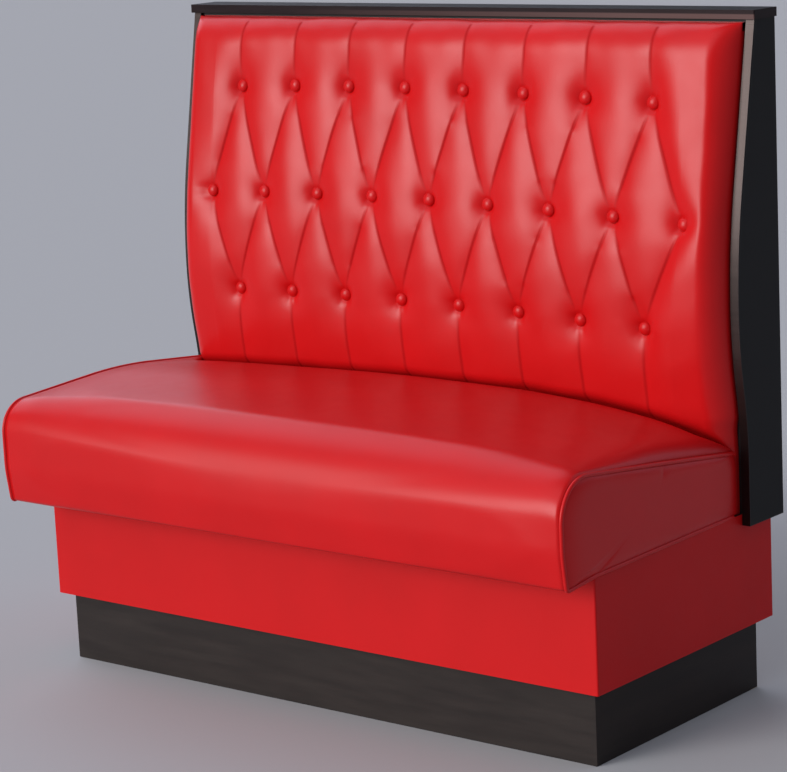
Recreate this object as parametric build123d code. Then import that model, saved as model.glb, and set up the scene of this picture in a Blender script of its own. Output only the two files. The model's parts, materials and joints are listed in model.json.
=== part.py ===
from build123d import *
import math
import os

# Restaurant booth seat: upholstered box seat, diamond-tufted back, laminated ends and cap
# X runs across the booth, Y from the front to the rear, Z up, all in millimetres
# The origin is on the floor under the middle of the booth

# Overall sizes
overall_width = 1143.0
overall_depth = 584.0
overall_height = 1067.0

# Stock
ply_thickness = 18.0
thin_ply = 12.7
bent_ply = 6.0
laminate = 0.8
vinyl = 1.2
fit_gap = 0.3
overrun = 5.0

# Plinth
plinth_height = 115.7
plinth_inset = 19.0
laminate_lift = 1.0
joist_width = 40.0
plinth_block = 60.0

# Seat box
box_end_inset = 19.1
box_setback = 87.9
box_top_z = 298.0
box_floor_thickness = 12.0
box_corner_radius = 3.0
box_block = 40.0
divider_end_inset = 361.2
ledger_size = 45.0

# Side panels of the back
panel_overhang = 3.8
panel_bottom_z = 281.0
panel_low_depth = 97.4
lumbar_depth = 118.3
lumbar_start_z = 375.0
lumbar_z = 620.0
lean_radius = 1036.0
lean_angle = 10.0

# Cap
cap_thickness = 14.0
cap_depth = 64.0
cap_corner_radius = 2.0

# Back cushion
pad_proud = 47.0
pad_seat_proud = 40.0
pad_edge_proud = 7.0
pad_round = 40.0
foam_front_proud = 20.0
board_setback = 6.0
tuft_depth = 20.0
crease_depth = 9.0
edge_crease_depth = 6.0
flank_depth = 2.0
flank_wall = 9.0
small_pillow = 3.6
fullness_power = 0.8

# Buttons
button_pitch = 119.0
button_radius = 11.0
button_dome = 6.0
button_rim = 1.5
top_row_drop = 115.0
middle_row_drop = 179.0
low_row_drop = 167.0
twine_radius = 1.0
twine_hole_radius = 1.5
washer_radius = 9.0
washer_thickness = 1.5

# Ribs of the back
rib_steps_from_middle = 3.5

# Seat cushion
seam_front_inset = 11.5
seam_rear_inset = 23.0
seat_front_crown = 3.1
seat_rear_gap = 1.0
toe_back = 13.0
belly_height = 74.0
belly_radius = 260.0
seat_toe_radius = 8.0
nose_radius = 30.0
top_bend_radius = 900.0
tail_radius = 14.0
least_radius = 1.5
seam_nose_z = 464.6
seam_middle_z = 433.0
seam_tail_z = 401.0
crown_setback = 268.9
nose_crown = 7.0
middle_crown = 45.0
tail_crown = 63.5
cover_thickness = 1.5
hem_width = 35.0
side_dome = 3.5
side_dome_margin = 25.0
side_dome_step_share = 0.8
piping_radius = 3.0
piping_proud = 1.5

# Inside the seat
deck_thickness = 15.0
deck_end_inset = 5.5
deck_front_inset = 18.9
deck_rear_inset = 4.0
cloth_thickness = 0.9
cleat_end_inset = 143.0
cleat_length = 90.0
cleat_depth = 80.0
cleat_height = 36.0
cleat_gap = 1.5
cleat_screw_bite = 10.0

# Fasteners
screw_radius = 2.2
screw_head_radius = 4.2
screw_head_height = 2.6
screw_length = 35.0
screw_gap = 0.15
bolt_radius = 4.0
bolt_head_radius = 8.0
bolt_head_height = 5.0
bolt_length = 55.0

# Crown of the seat: stations along the half width, and how much of the crown each one has
# The left end stands fuller than the right one
station_shares = (-1.0, -0.9, -0.55, 0.0, 0.55, 0.8, 0.93, 1.0)
crown_shares = (0.5, 0.76, 0.92, 1.0, 0.86, 0.58, 0.28, 0.0)

# Heights between two rows of buttons at which the back cover has a section
row_step_shares = (0.25, 0.5, 0.75)
top_step_shares = (0.35, 0.7)
roll_angles = (0.0, 30.0, 50.0, 66.0, 78.0)

# Sizes that follow
rear_y = overall_depth / 2
cap_half_width = overall_width / 2
cap_bottom_z = overall_height - cap_thickness
panel_thickness = thin_ply + 2 * laminate
panel_outer_x = cap_half_width - panel_overhang
panel_inner_x = panel_outer_x - panel_thickness
rear_panel_front_y = rear_y - thin_ply
seat_front_y = seat_front_crown - overall_depth / 2
seam_front_x = cap_half_width - seam_front_inset
seam_rear_x = cap_half_width - seam_rear_inset
middle_y = seat_front_y + crown_setback
deck_half_width = seam_rear_x - deck_end_inset
deck_front_y = seat_front_y + deck_front_inset
cleat_x = deck_half_width - cleat_end_inset
box_half_width = cap_half_width - box_end_inset
box_front_y = seat_front_y + box_setback
box_rear_y = rear_panel_front_y - fit_gap
box_board_x = box_half_width - vinyl
box_board_front_y = box_front_y + vinyl
box_floor_top_z = plinth_height + box_floor_thickness
divider_x = box_board_x - divider_end_inset
top_row_z = cap_bottom_z - top_row_drop
middle_row_z = top_row_z - middle_row_drop
low_row_z = middle_row_z - low_row_drop
middle_row_count = 1 + int(2 * (panel_inner_x - pad_round) / button_pitch)
top_row_count = middle_row_count - 1
plinth_half_width = box_half_width - plinth_inset
plinth_front_y = box_front_y + plinth_inset
plinth_rear_y = box_rear_y - plinth_inset
rail_bottom_z = box_top_z
rail_top_z = rail_bottom_z + ply_thickness
top_rail_z = cap_bottom_z - ply_thickness
rib_gap = board_setback + bent_ply + fit_gap
rear_inner_y = rear_panel_front_y - fit_gap
diagonal_share = math.sqrt(0.5)


def box(x0, x1, y0, y1, z0, z1):
    """A board between two corners."""
    return Pos(x0, y0, z0) * Box(x1 - x0, y1 - y0, z1 - z0, align=(Align.MIN, Align.MIN, Align.MIN))


def rod(x, y, z, radius, length, direction=(0, 0, 1)):
    """A round bar that starts at a point and runs along a direction."""
    return Plane(origin=(x, y, z), z_dir=direction) * Cylinder(
        radius, length, align=(Align.CENTER, Align.CENTER, Align.MIN)
    )


screw_up = (0, 0, 1)
screw_down = (0, 0, -1)
screw_forward = (0, -1, 0)


def screw(place, direction, radius, length, head_radius, head_height):
    """A screw: the shank runs from the place along the direction, the head sits behind the place."""
    back = tuple(-part for part in direction)
    return rod(*place, radius, length, direction) + rod(*place, head_radius, head_height, back)


def screw_hole(place, direction, radius, length):
    """The hole for such a shank, clear all round and at its tip."""
    return rod(*place, radius + screw_gap, length + screw_gap, direction)


def wood_screw(place, direction):
    return screw(place, direction, screw_radius, screw_length, screw_head_radius, screw_head_height)


def wood_screw_hole(place, direction):
    return screw_hole(place, direction, screw_radius, screw_length)


def save(shape, name):
    """One file for each named piece."""
    export_step(shape, f"parts/{name}.step")


def save_group(shapes, name):
    save(Compound(children=list(shapes)), name)


def mirrored_x(value):
    return (-value, value)


# Line of the back: upright at the seat, forward at the small of the back, then leaning back

panel_low_y = rear_y - panel_low_depth
lumbar_y = rear_y - lumbar_depth
s_middle_z = (lumbar_start_z + lumbar_z) / 2
s_middle_y = (panel_low_y + lumbar_y) / 2
s_rise = s_middle_z - lumbar_start_z
s_run = panel_low_y - s_middle_y
s_radius = (s_rise * s_rise + s_run * s_run) / (2 * s_run)
lean_start_z = lumbar_z + lean_radius * math.sin(math.radians(lean_angle))
lean_start_y = lumbar_y + lean_radius * (1 - math.cos(math.radians(lean_angle)))


def back_line_y(z):
    """Depth of the side panel's front edge at a height."""
    if z <= lumbar_start_z:
        return panel_low_y
    if z <= s_middle_z:
        rise = z - lumbar_start_z
        return panel_low_y - s_radius + math.sqrt(s_radius * s_radius - rise * rise)
    if z <= lumbar_z:
        rise = lumbar_z - z
        return lumbar_y + s_radius - math.sqrt(s_radius * s_radius - rise * rise)
    if z <= lean_start_z:
        rise = z - lumbar_z
        return lumbar_y + lean_radius - math.sqrt(lean_radius * lean_radius - rise * rise)
    return lean_start_y + (z - lean_start_z) * math.tan(math.radians(lean_angle))


def back_line(shift, z0, z1):
    """The line of the back as edges in the Y-Z plane, moved back by shift."""
    top_y = back_line_y(z1)
    edges = [
        Line((panel_low_y + shift, z0), (panel_low_y + shift, lumbar_start_z)),
        TangentArc(
            (panel_low_y + shift, lumbar_start_z), (s_middle_y + shift, s_middle_z), tangent=(0, 1)
        ),
        TangentArc(
            (lumbar_y + shift, lumbar_z), (s_middle_y + shift, s_middle_z), tangent=(0, -1)
        ),
        TangentArc((lumbar_y + shift, lumbar_z), (lean_start_y + shift, lean_start_z), tangent=(0, 1)),
        Line((lean_start_y + shift, lean_start_z), (top_y + shift, z1)),
    ]
    return edges, panel_low_y + shift, top_y + shift


def back_profile(front_shift, z0, z1, back_shift=None, flat_rear_y=None):
    """Closed outline between the line of the back and a second line or an upright rear."""
    edges, low_y, high_y = back_line(front_shift, z0, z1)
    if flat_rear_y is not None:
        edges += [
            Line((high_y, z1), (flat_rear_y, z1)),
            Line((flat_rear_y, z1), (flat_rear_y, z0)),
            Line((flat_rear_y, z0), (low_y, z0)),
        ]
    else:
        rear_edges, rear_low_y, rear_high_y = back_line(back_shift, z0, z1)
        edges += rear_edges + [
            Line((high_y, z1), (rear_high_y, z1)),
            Line((low_y, z0), (rear_low_y, z0)),
        ]
    return make_face(edges)


def slab(face, x0, x1):
    """A face drawn in the Y-Z plane, made a board from x0 to x1."""
    return Pos(x0, 0, 0) * extrude(Plane.YZ * face, x1 - x0)


# Plinth


def plinth_laminates():
    """Thin skins on the three sides that are seen, trimmed just clear of the floor."""
    front = box(
        -plinth_half_width, plinth_half_width,
        plinth_front_y, plinth_front_y + laminate,
        laminate_lift, plinth_height,
    )
    sides = [
        box(x0, x0 + laminate, plinth_front_y + laminate, plinth_rear_y, laminate_lift, plinth_height)
        for x0 in (-plinth_half_width, plinth_half_width - laminate)
    ]
    return front, sides


def plinth_boards():
    """Front and rear boards run through, the side boards stand between them."""
    half = plinth_half_width - laminate
    front_y = plinth_front_y + laminate
    front = box(-half, half, front_y, front_y + ply_thickness, 0, plinth_height)
    rear = box(-half, half, plinth_rear_y - ply_thickness, plinth_rear_y, 0, plinth_height)
    sides = [
        box(
            x0, x0 + ply_thickness,
            front_y + ply_thickness, plinth_rear_y - ply_thickness,
            0, plinth_height,
        )
        for x0 in (-half, half - ply_thickness)
    ]
    joist = box(
        -joist_width / 2, joist_width / 2,
        front_y + ply_thickness, plinth_rear_y - ply_thickness,
        laminate_lift, plinth_height,
    )
    return front, rear, sides, joist


def plinth_block_places():
    """Centres of the blocks in the plinth's inner corners."""
    x = plinth_half_width - laminate - ply_thickness - plinth_block / 2
    y0 = plinth_front_y + laminate + ply_thickness + plinth_block / 2
    y1 = plinth_rear_y - ply_thickness - plinth_block / 2
    return [(sx, y) for sx in mirrored_x(x) for y in (y0, y1)]


def plinth_blocks():
    half = plinth_block / 2
    return [
        box(x - half, x + half, y - half, y + half, laminate_lift, plinth_height)
        for x, y in plinth_block_places()
    ]


def base_screw_places():
    """Two screws into each corner block, from inside the seat box."""
    shift = plinth_block / 4
    return [(x + dx, y, box_floor_top_z) for x, y in plinth_block_places() for dx in mirrored_x(shift)]


# Seat box


def box_boards():
    """Front, rear and side boards stand on the floor board."""
    z0, z1 = box_floor_top_z, box_top_z
    x, front_y = box_board_x, box_board_front_y
    floor = box(-x, x, front_y, box_rear_y, plinth_height, z0)
    front = box(-x, x, front_y, front_y + ply_thickness, z0, z1)
    rear = box(-x, x, box_rear_y - ply_thickness, box_rear_y, z0, z1)
    sides = [
        box(x0, x0 + ply_thickness, front_y + ply_thickness, box_rear_y - ply_thickness, z0, z1)
        for x0 in (-x, x - ply_thickness)
    ]
    return floor, front, rear, sides


def box_ledger():
    """Batten inside the rear board that takes the bolts of the back."""
    x = box_board_x - ply_thickness
    y1 = box_rear_y - ply_thickness
    return box(-x, x, y1 - ledger_size, y1, box_top_z - ledger_size, box_top_z)


def box_dividers():
    y0 = box_board_front_y + ply_thickness
    y1 = box_rear_y - ply_thickness - ledger_size
    return [
        box(x - ply_thickness / 2, x + ply_thickness / 2, y0, y1, box_floor_top_z, box_top_z)
        for x in mirrored_x(divider_x)
    ]


def box_blocks():
    """Upright blocks in the inner corners, the rear ones under the ledger."""
    x1 = box_board_x - ply_thickness
    y0 = box_board_front_y + ply_thickness
    y1 = box_rear_y - ply_thickness
    shapes = []
    for x in (-x1, x1 - box_block):
        shapes.append(box(x, x + box_block, y0, y0 + box_block, box_floor_top_z, box_top_z))
        shapes.append(
            box(x, x + box_block, y1 - box_block, y1, box_floor_top_z, box_top_z - ledger_size)
        )
    return shapes


def box_cover():
    """One strip of vinyl round the front and both sides."""
    outer = [
        (-box_half_width, box_rear_y),
        (-box_half_width, box_front_y),
        (box_half_width, box_front_y),
        (box_half_width, box_rear_y),
    ]
    path = FilletPolyline(*outer, radius=box_corner_radius)
    face = make_face([path, Line(outer[-1], outer[0])])
    solid = Pos(0, 0, plinth_height) * extrude(face, box_top_z - plinth_height)
    core = box(
        -box_board_x, box_board_x,
        box_board_front_y, box_rear_y + overrun,
        plinth_height - overrun, box_top_z + overrun,
    )
    return solid - core


# Back frame

rib_x = rib_steps_from_middle * button_pitch / 2
rib_centres = (
    -panel_inner_x + ply_thickness / 2,
    -rib_x,
    rib_x,
    panel_inner_x - ply_thickness / 2,
)


def back_rib(x):
    """Upright board cut to the line of the back."""
    face = back_profile(rib_gap, rail_top_z, top_rail_z, flat_rear_y=rear_inner_y)
    return slab(face, x - ply_thickness / 2, x + ply_thickness / 2)


def back_rails():
    bottom = box(
        -panel_inner_x, panel_inner_x,
        panel_low_y + rib_gap, rear_inner_y,
        rail_bottom_z, rail_top_z,
    )
    top_front_y = back_line_y(cap_bottom_z) + rib_gap
    top = box(-panel_inner_x, panel_inner_x, top_front_y, rear_inner_y, top_rail_z, cap_bottom_z)
    return bottom, top


def back_board():
    """Thin plywood bent over the ribs, with a hole behind each button."""
    face = back_profile(board_setback, rail_bottom_z, cap_bottom_z, back_shift=board_setback + bent_ply)
    return slab(face, -panel_inner_x, panel_inner_x)


def back_foam():
    face = back_profile(
        -foam_front_proud + fit_gap, rail_bottom_z, cap_bottom_z, back_shift=board_setback - fit_gap
    )
    half = panel_inner_x - flank_wall - fit_gap
    return slab(face, -half, half)


# Tufted cover of the back


def button_rows():
    """Each row as its height and the places of its buttons."""
    rows = []
    for z, count in (
        (top_row_z, top_row_count),
        (middle_row_z, middle_row_count),
        (low_row_z, top_row_count),
    ):
        rows.append((z, [(i - (count - 1) / 2) * button_pitch for i in range(count)]))
    return rows


def pad_proud_at(z):
    """How far the pillows stand in front of the side panel's edge."""
    roll_start = cap_bottom_z - pad_round
    if z <= lumbar_start_z:
        return pad_seat_proud
    if z <= low_row_z:
        share = (z - lumbar_start_z) / (low_row_z - lumbar_start_z)
        return pad_seat_proud + (pad_proud - pad_seat_proud) * share
    if z <= roll_start:
        return pad_proud
    rise = min(z - roll_start, pad_round)
    return pad_proud - pad_round + math.sqrt(pad_round * pad_round - rise * rise)


def crease_places(share):
    """Places of the 16 creases, from the top row (share 0) to the middle row (share 1)."""
    places = []
    spread = button_pitch / 2 * share
    least = small_pillow / 2
    spread = max(least, min(button_pitch / 2 - least, spread))
    for i in range(top_row_count):
        x = (i - (top_row_count - 1) / 2) * button_pitch
        places += [x - spread, x + spread]
    return places


def pad_section(z, share, depth):
    """Outline of the cover at a height: a flank, 17 pillows between creases and the other flank."""
    proud = pad_proud_at(z)
    front_y = back_line_y(z) - proud
    edge_y = back_line_y(z) - pad_edge_proud
    rear_y_here = back_line_y(z)
    flank_x = panel_inner_x - pad_round
    flank_y = front_y + flank_depth
    bend_x = flank_x + pad_round * diagonal_share
    bend_y = edge_y - (edge_y - flank_y) * diagonal_share
    creases = [(x, front_y + depth) for x in crease_places(share)]
    knots = [(-flank_x, flank_y)] + creases + [(flank_x, flank_y)]
    edges = [ThreePointArc((-panel_inner_x, edge_y, z), (-bend_x, bend_y, z), (-flank_x, flank_y, z))]
    for (x0, y0), (x1, y1) in zip(knots, knots[1:]):
        fullness = depth * min(1, (x1 - x0) / button_pitch) ** fullness_power
        middle = ((x0 + x1) / 2, (y0 + y1) / 2 - max(fullness, fit_gap), z)
        edges.append(ThreePointArc((x0, y0, z), middle, (x1, y1, z)))
    edges.append(ThreePointArc((flank_x, flank_y, z), (bend_x, bend_y, z), (panel_inner_x, edge_y, z)))
    edges.append(Line((panel_inner_x, edge_y, z), (panel_inner_x, rear_y_here, z)))
    edges.append(Line((panel_inner_x, rear_y_here, z), (-panel_inner_x, rear_y_here, z)))
    edges.append(Line((-panel_inner_x, rear_y_here, z), (-panel_inner_x, edge_y, z)))
    return Wire(edges)


def pad_stations():
    """Heights of the sections, each with the creases' share and depth."""
    stations = [
        (rail_bottom_z, 0.0, edge_crease_depth),
        (lumbar_start_z, 0.0, edge_crease_depth),
    ]
    for step in top_step_shares:
        z = lumbar_start_z + (low_row_z - lumbar_start_z) * step
        stations.append((z, 0.0, crease_depth))
    stations.append((low_row_z, 0.0, tuft_depth))
    for step in row_step_shares:
        z = low_row_z + (middle_row_z - low_row_z) * step
        stations.append((z, step, crease_depth))
    stations.append((middle_row_z, 1.0, tuft_depth))
    for step in row_step_shares:
        z = middle_row_z + (top_row_z - middle_row_z) * step
        stations.append((z, 1 - step, crease_depth))
    stations.append((top_row_z, 0.0, tuft_depth))
    roll_start = cap_bottom_z - pad_round
    stations.append(((top_row_z + roll_start) / 2, 0.0, crease_depth))
    for angle in roll_angles:
        z = roll_start + pad_round * math.sin(math.radians(angle))
        stations.append((z, 0.0, edge_crease_depth))
    return stations


def button_base_y(z):
    """Depth at which a button of a row sits in its tuft."""
    return back_line_y(z) - pad_proud + tuft_depth


def tufted_cover():
    """Padded vinyl cover: pillows drawn in along the creases, with a seat for each button."""
    solid = Solid.make_loft([pad_section(*station) for station in pad_stations()], ruled=True)
    face = back_profile(
        -foam_front_proud, rail_bottom_z - overrun, cap_bottom_z + overrun, flat_rear_y=rear_y
    )
    behind = slab(face, -panel_inner_x + flank_wall, panel_inner_x - flank_wall)
    return solid - behind


def button_pockets():
    """Round seats that the buttons are pulled into."""
    length = pad_proud + overrun
    return [
        rod(x, button_base_y(z) + button_rim, z, button_radius + fit_gap, length, (0, -1, 0))
        for z, places in button_rows()
        for x in places
    ]


def button(x, z):
    """Domed covered button: a rim and a spherical cap."""
    base_y = button_base_y(z)
    sphere_radius = (button_radius * button_radius + button_dome * button_dome) / (2 * button_dome)
    rim = rod(x, base_y + button_rim - fit_gap, z, button_radius, button_rim, (0, -1, 0))
    front_y = base_y - fit_gap
    ball = Pos(x, front_y - button_dome + sphere_radius, z) * Sphere(sphere_radius)
    keep = rod(x, front_y, z, button_radius, button_dome, (0, -1, 0))
    return rim + (ball & keep)


def washer_y(z):
    """Rear of the bent board behind a row, where its washers lie; the steepest corner still clears."""
    rise = washer_radius
    return max(back_line_y(z + rise), back_line_y(z - rise)) + board_setback + bent_ply + fit_gap


def twine(x, z):
    """Waxed twine from the back of a button to its washer."""
    start = button_base_y(z) + button_rim
    return rod(x, start, z, twine_radius, washer_y(z) - start, (0, 1, 0))


def washer(x, z):
    return rod(x, washer_y(z), z, washer_radius, washer_thickness, (0, 1, 0))


def twine_holes():
    return [
        rod(x, button_base_y(z), z, twine_hole_radius, rear_inner_y - button_base_y(z), (0, 1, 0))
        for z, places in button_rows()
        for x in places
    ]


# Side panels


def panel_outline(inset):
    """Side panel's shape, smaller by inset at the front, the bottom and the rear."""
    return back_profile(inset, panel_bottom_z + inset, cap_bottom_z, flat_rear_y=rear_y - inset)


def side_panel(side):
    """Plywood core, its two laminate skins and the band round its edge, for side -1 or 1."""
    core = slab(panel_outline(laminate), laminate, panel_thickness - laminate)
    inner = slab(panel_outline(laminate), 0, laminate)
    outer = slab(panel_outline(laminate), panel_thickness - laminate, panel_thickness)
    band = slab(panel_outline(0), 0, panel_thickness) - slab(
        panel_outline(laminate), -overrun, panel_thickness + overrun
    )
    shapes = [core, inner, outer, band]
    if side > 0:
        return [Pos(panel_inner_x, 0, 0) * shape for shape in shapes]
    return [Pos(-panel_outer_x, 0, 0) * shape for shape in shapes]


def rear_panel():
    return box(
        -panel_inner_x + fit_gap, panel_inner_x - fit_gap,
        rear_panel_front_y, rear_y,
        panel_bottom_z, cap_bottom_z,
    )


# Cap


def cap_face(inset):
    """Plan of the cap, smaller by inset at the front and the ends."""
    half = cap_half_width - inset
    front_y = rear_y - cap_depth + inset
    points = [(-half, rear_y), (-half, front_y), (half, front_y), (half, rear_y)]
    radius = cap_corner_radius - inset
    path = FilletPolyline(*points, radius=radius)
    return make_face([path, Line(points[-1], points[0])])


def cap_pieces():
    """Plywood core, laminate on top, band round the front and the ends."""
    core_top_z = overall_height - laminate
    core = Pos(0, 0, cap_bottom_z) * extrude(cap_face(laminate), core_top_z - cap_bottom_z)
    top = Pos(0, 0, core_top_z) * extrude(cap_face(laminate), laminate)
    ring = Pos(0, 0, cap_bottom_z) * extrude(cap_face(0), cap_thickness)
    hollow = Pos(0, 0, cap_bottom_z - overrun) * extrude(
        cap_face(laminate), cap_thickness + 2 * overrun
    )
    return core, top, ring - hollow


# Seat cushion

seam_slope = (seam_front_x - seam_rear_x) / (panel_low_y - seat_front_y)
seam_zero_x = seam_front_x + seam_slope * seat_front_y
seam_rear_y = panel_low_y - pad_edge_proud - seat_rear_gap
crown_top_z = seam_middle_z + middle_crown
seat_tail_y = back_line_y(crown_top_z) - pad_proud_at(crown_top_z) - seat_rear_gap
deck_rear_y = seat_tail_y - deck_rear_inset


def seat_plane(share, outset=0.0):
    """Upright plane of a section; the end planes draw in a little towards the rear."""
    slope = share * seam_slope
    side = 1 if share > 0 else -1
    across = share * seam_zero_x + side * outset
    return Plane(origin=(across, 0, 0), x_dir=(-slope, 1, 0), z_dir=(1, slope, 0))


def crown_at(share):
    """Share of the crown at a station, read off the two tables."""
    for i in range(1, len(station_shares)):
        low, high = station_shares[i - 1], station_shares[i]
        if share <= high:
            part = (share - low) / (high - low)
            return crown_shares[i - 1] + (crown_shares[i] - crown_shares[i - 1]) * part
    return crown_shares[-1]


def seat_outline(share, inset, bottom_inset, outset=0.0):
    """Closed outline of the seat at a station, smaller by the insets."""
    crown = crown_at(share)
    front_y = seat_front_y + inset - seat_front_crown * (1 - share * share)
    tail_y = seam_rear_y - inset
    low_z = box_top_z + bottom_inset
    nose = (front_y, seam_nose_z + nose_crown * crown - inset)
    bend = (middle_y, seam_middle_z + middle_crown * crown - inset)
    tail = (tail_y, seam_tail_z + tail_crown * crown - inset)
    heel = (tail_y, low_z)
    lift = (tail_y, (low_z + tail[1]) / 2)
    points = [
        heel,
        (front_y + toe_back, low_z),
        (front_y, box_top_z + belly_height),
        nose,
        bend,
        tail,
        lift,
    ]
    radii = [
        max(seat_toe_radius - inset, least_radius),
        belly_radius,
        max(nose_radius - inset, least_radius),
        top_bend_radius,
        max(tail_radius - inset, least_radius),
    ]
    path = FilletPolyline(*points, radius=radii)
    plane = seat_plane(share, outset)
    edges = [plane * edge for edge in path.edges()] + [plane * Line(lift, heel)]
    return Wire(edges)


def seat_loft(inset, bottom_inset):
    """The seat's crowned form between its end planes."""
    return Solid.make_loft([seat_outline(share, inset, bottom_inset) for share in station_shares])


def seat_end_trim(side, inset):
    """Slice that shortens the seat's form by inset at one end."""
    slice_box = Box(2 * overall_depth, 2 * overall_height, 2 * overrun)
    return seat_plane(side, -inset) * Pos(0, 0, side * overrun) * slice_box


def seat_end_trims(inset):
    return [seat_end_trim(side, inset) for side in (-1, 1)]


def behind_seat(gap):
    """Space behind the seat that the back cushion takes, gap in front of its flat and its flanks."""
    front_y = seat_tail_y + seat_rear_gap - gap
    edge_y = seam_rear_y + seat_rear_gap - gap
    flank_x = panel_inner_x - pad_round
    far_y = rear_y + overrun
    bend_x = flank_x + pad_round * diagonal_share
    bend_y = edge_y - (edge_y - front_y) * diagonal_share
    edges = [
        Line((-flank_x, front_y), (flank_x, front_y)),
        ThreePointArc((flank_x, front_y), (bend_x, bend_y), (panel_inner_x, edge_y)),
        Line((panel_inner_x, edge_y), (panel_inner_x + overrun, edge_y)),
        Line((panel_inner_x + overrun, edge_y), (panel_inner_x + overrun, far_y)),
        Line((panel_inner_x + overrun, far_y), (-panel_inner_x - overrun, far_y)),
        Line((-panel_inner_x - overrun, far_y), (-panel_inner_x - overrun, edge_y)),
        Line((-panel_inner_x - overrun, edge_y), (-panel_inner_x, edge_y)),
        ThreePointArc((-panel_inner_x, edge_y), (-bend_x, bend_y), (-flank_x, front_y)),
    ]
    return Pos(0, 0, rail_bottom_z - overrun) * extrude(make_face(edges), low_row_z - rail_bottom_z)


piping_gap = piping_radius + fit_gap


def seat_cover():
    """Front, top and rear of the seat in one band, hemmed under the deck."""
    outer = seat_loft(0, 0) - behind_seat(seat_rear_gap) - seat_end_trims(piping_gap)
    inner = seat_loft(cover_thickness, vinyl) - behind_seat(seat_rear_gap + cover_thickness)
    opening = box(
        -deck_half_width + hem_width, deck_half_width - hem_width,
        seat_front_y + hem_width, seat_tail_y - hem_width,
        box_top_z - overrun, box_top_z + overrun,
    )
    return outer - inner - opening


def seat_foam():
    """Foam core, cut out over the deck."""
    solid = seat_loft(cover_thickness + fit_gap, vinyl + fit_gap)
    room = box(
        -deck_half_width - fit_gap, deck_half_width + fit_gap,
        deck_front_y - fit_gap, deck_rear_y + fit_gap,
        box_top_z - overrun, box_top_z + vinyl + deck_thickness + 2 * fit_gap,
    )
    behind = behind_seat(seat_rear_gap + cover_thickness + fit_gap)
    return solid - room - behind - seat_end_trims(piping_gap + fit_gap)


def seat_side_panel(side):
    """Slightly domed end panel of the cover, sewn to the band with piping."""
    rim = piping_radius - piping_proud + piping_radius + fit_gap
    rim_bottom = 2 * piping_radius + 2 * fit_gap
    steps = (
        (0, -piping_radius),
        (0, 0),
        (side_dome_margin / 2, side_dome * side_dome_step_share),
        (side_dome_margin, side_dome),
    )
    wires = [
        seat_outline(side, rim + margin, rim_bottom + margin, outset) for margin, outset in steps
    ]
    return Solid.make_loft(wires, ruled=True) - behind_seat(seat_rear_gap)


def seat_piping(side):
    """Cord in vinyl round the front, the top and the bottom of an end."""
    ring = seat_outline(side, piping_radius - piping_proud, piping_radius + fit_gap)
    path = Wire([edge for edge in ring.edges() if edge.center().Y < seam_rear_y - tail_radius])
    start = path.position_at(0)
    section = Plane(origin=start, z_dir=path.tangent_at(0)) * Circle(piping_radius)
    return sweep(section, path=path) - behind_seat(seat_rear_gap)


def seat_deck():
    z0 = box_top_z + vinyl
    return box(
        -deck_half_width, deck_half_width, deck_front_y, deck_rear_y, z0, z0 + deck_thickness
    )


def dust_cloth():
    """Thin cloth under the deck, inside the hem."""
    x = deck_half_width - hem_width - fit_gap
    z1 = box_top_z + vinyl
    return box(
        -x, x,
        seat_front_y + hem_width + fit_gap, seat_tail_y - hem_width - fit_gap,
        z1 - cloth_thickness, z1,
    )


def seat_cleat(x):
    """Block under the deck that stops the seat from sliding off; its front is cut at 45 degrees."""
    top_z = box_top_z + vinyl - cloth_thickness
    y0 = box_board_front_y + ply_thickness + cleat_gap
    points = [
        (y0, top_z),
        (y0 + cleat_depth, top_z),
        (y0 + cleat_depth, top_z - cleat_height),
        (y0 + cleat_height, top_z - cleat_height),
    ]
    return slab(make_face(Polyline(*points, close=True)), x - cleat_length / 2, x + cleat_length / 2)


cleat_screw_length = cleat_height + cloth_thickness + cleat_screw_bite


def cleat_screw(place):
    return screw(
        place, screw_up, screw_radius, cleat_screw_length, screw_head_radius, screw_head_height
    )


def cleat_screw_places():
    y = box_board_front_y + ply_thickness + cleat_gap + (cleat_height + cleat_depth) / 2
    z = box_top_z + vinyl - cloth_thickness - cleat_height
    shift = cleat_length / 4
    return [(x + dx, y, z) for x in mirrored_x(cleat_x) for dx in mirrored_x(shift)]


# Places of the fasteners in the back

rib_screw_shares = (0.15, 0.5, 0.85)
cap_screw_shares = (-0.8, -0.25, 0.25, 0.8)
bolt_shares = (-0.8, -0.2, 0.2, 0.8)


def cap_screw_places():
    y = (back_line_y(cap_bottom_z) + rib_gap + rear_inner_y) / 2
    return [(share * (panel_inner_x - ply_thickness), y, top_rail_z) for share in cap_screw_shares]


def bolt_places():
    y = box_rear_y - ply_thickness - ledger_size / 2
    return [(share * panel_inner_x, y, rail_top_z) for share in bolt_shares]


def rib_heights():
    return [rail_top_z + (top_rail_z - rail_top_z) * share for share in rib_screw_shares]


def rear_screw_places():
    """Screws through the rear panel into the middle of each rib, heads flush with the panel."""
    return [(x, rear_y - screw_head_height, z) for x in rib_centres for z in rib_heights()]


def panel_screw_places(side):
    x = side * (panel_inner_x - ply_thickness)
    y = (back_line_y(top_rail_z) + rib_gap + rear_inner_y) / 2
    shift = ply_thickness
    return [(x, y, z + shift) for z in rib_heights()]


cap_screw_length = ply_thickness + cap_thickness / 2
panel_screw_length = ply_thickness + panel_thickness / 2


def cap_screw(place):
    return screw(
        place, screw_up, screw_radius, cap_screw_length, screw_head_radius, screw_head_height
    )


def panel_screw(place, side):
    return screw(
        place, (side, 0, 0), screw_radius, panel_screw_length, screw_head_radius, screw_head_height
    )


def bolt(place):
    return screw(place, screw_down, bolt_radius, bolt_length, bolt_head_radius, bolt_head_height)


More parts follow.
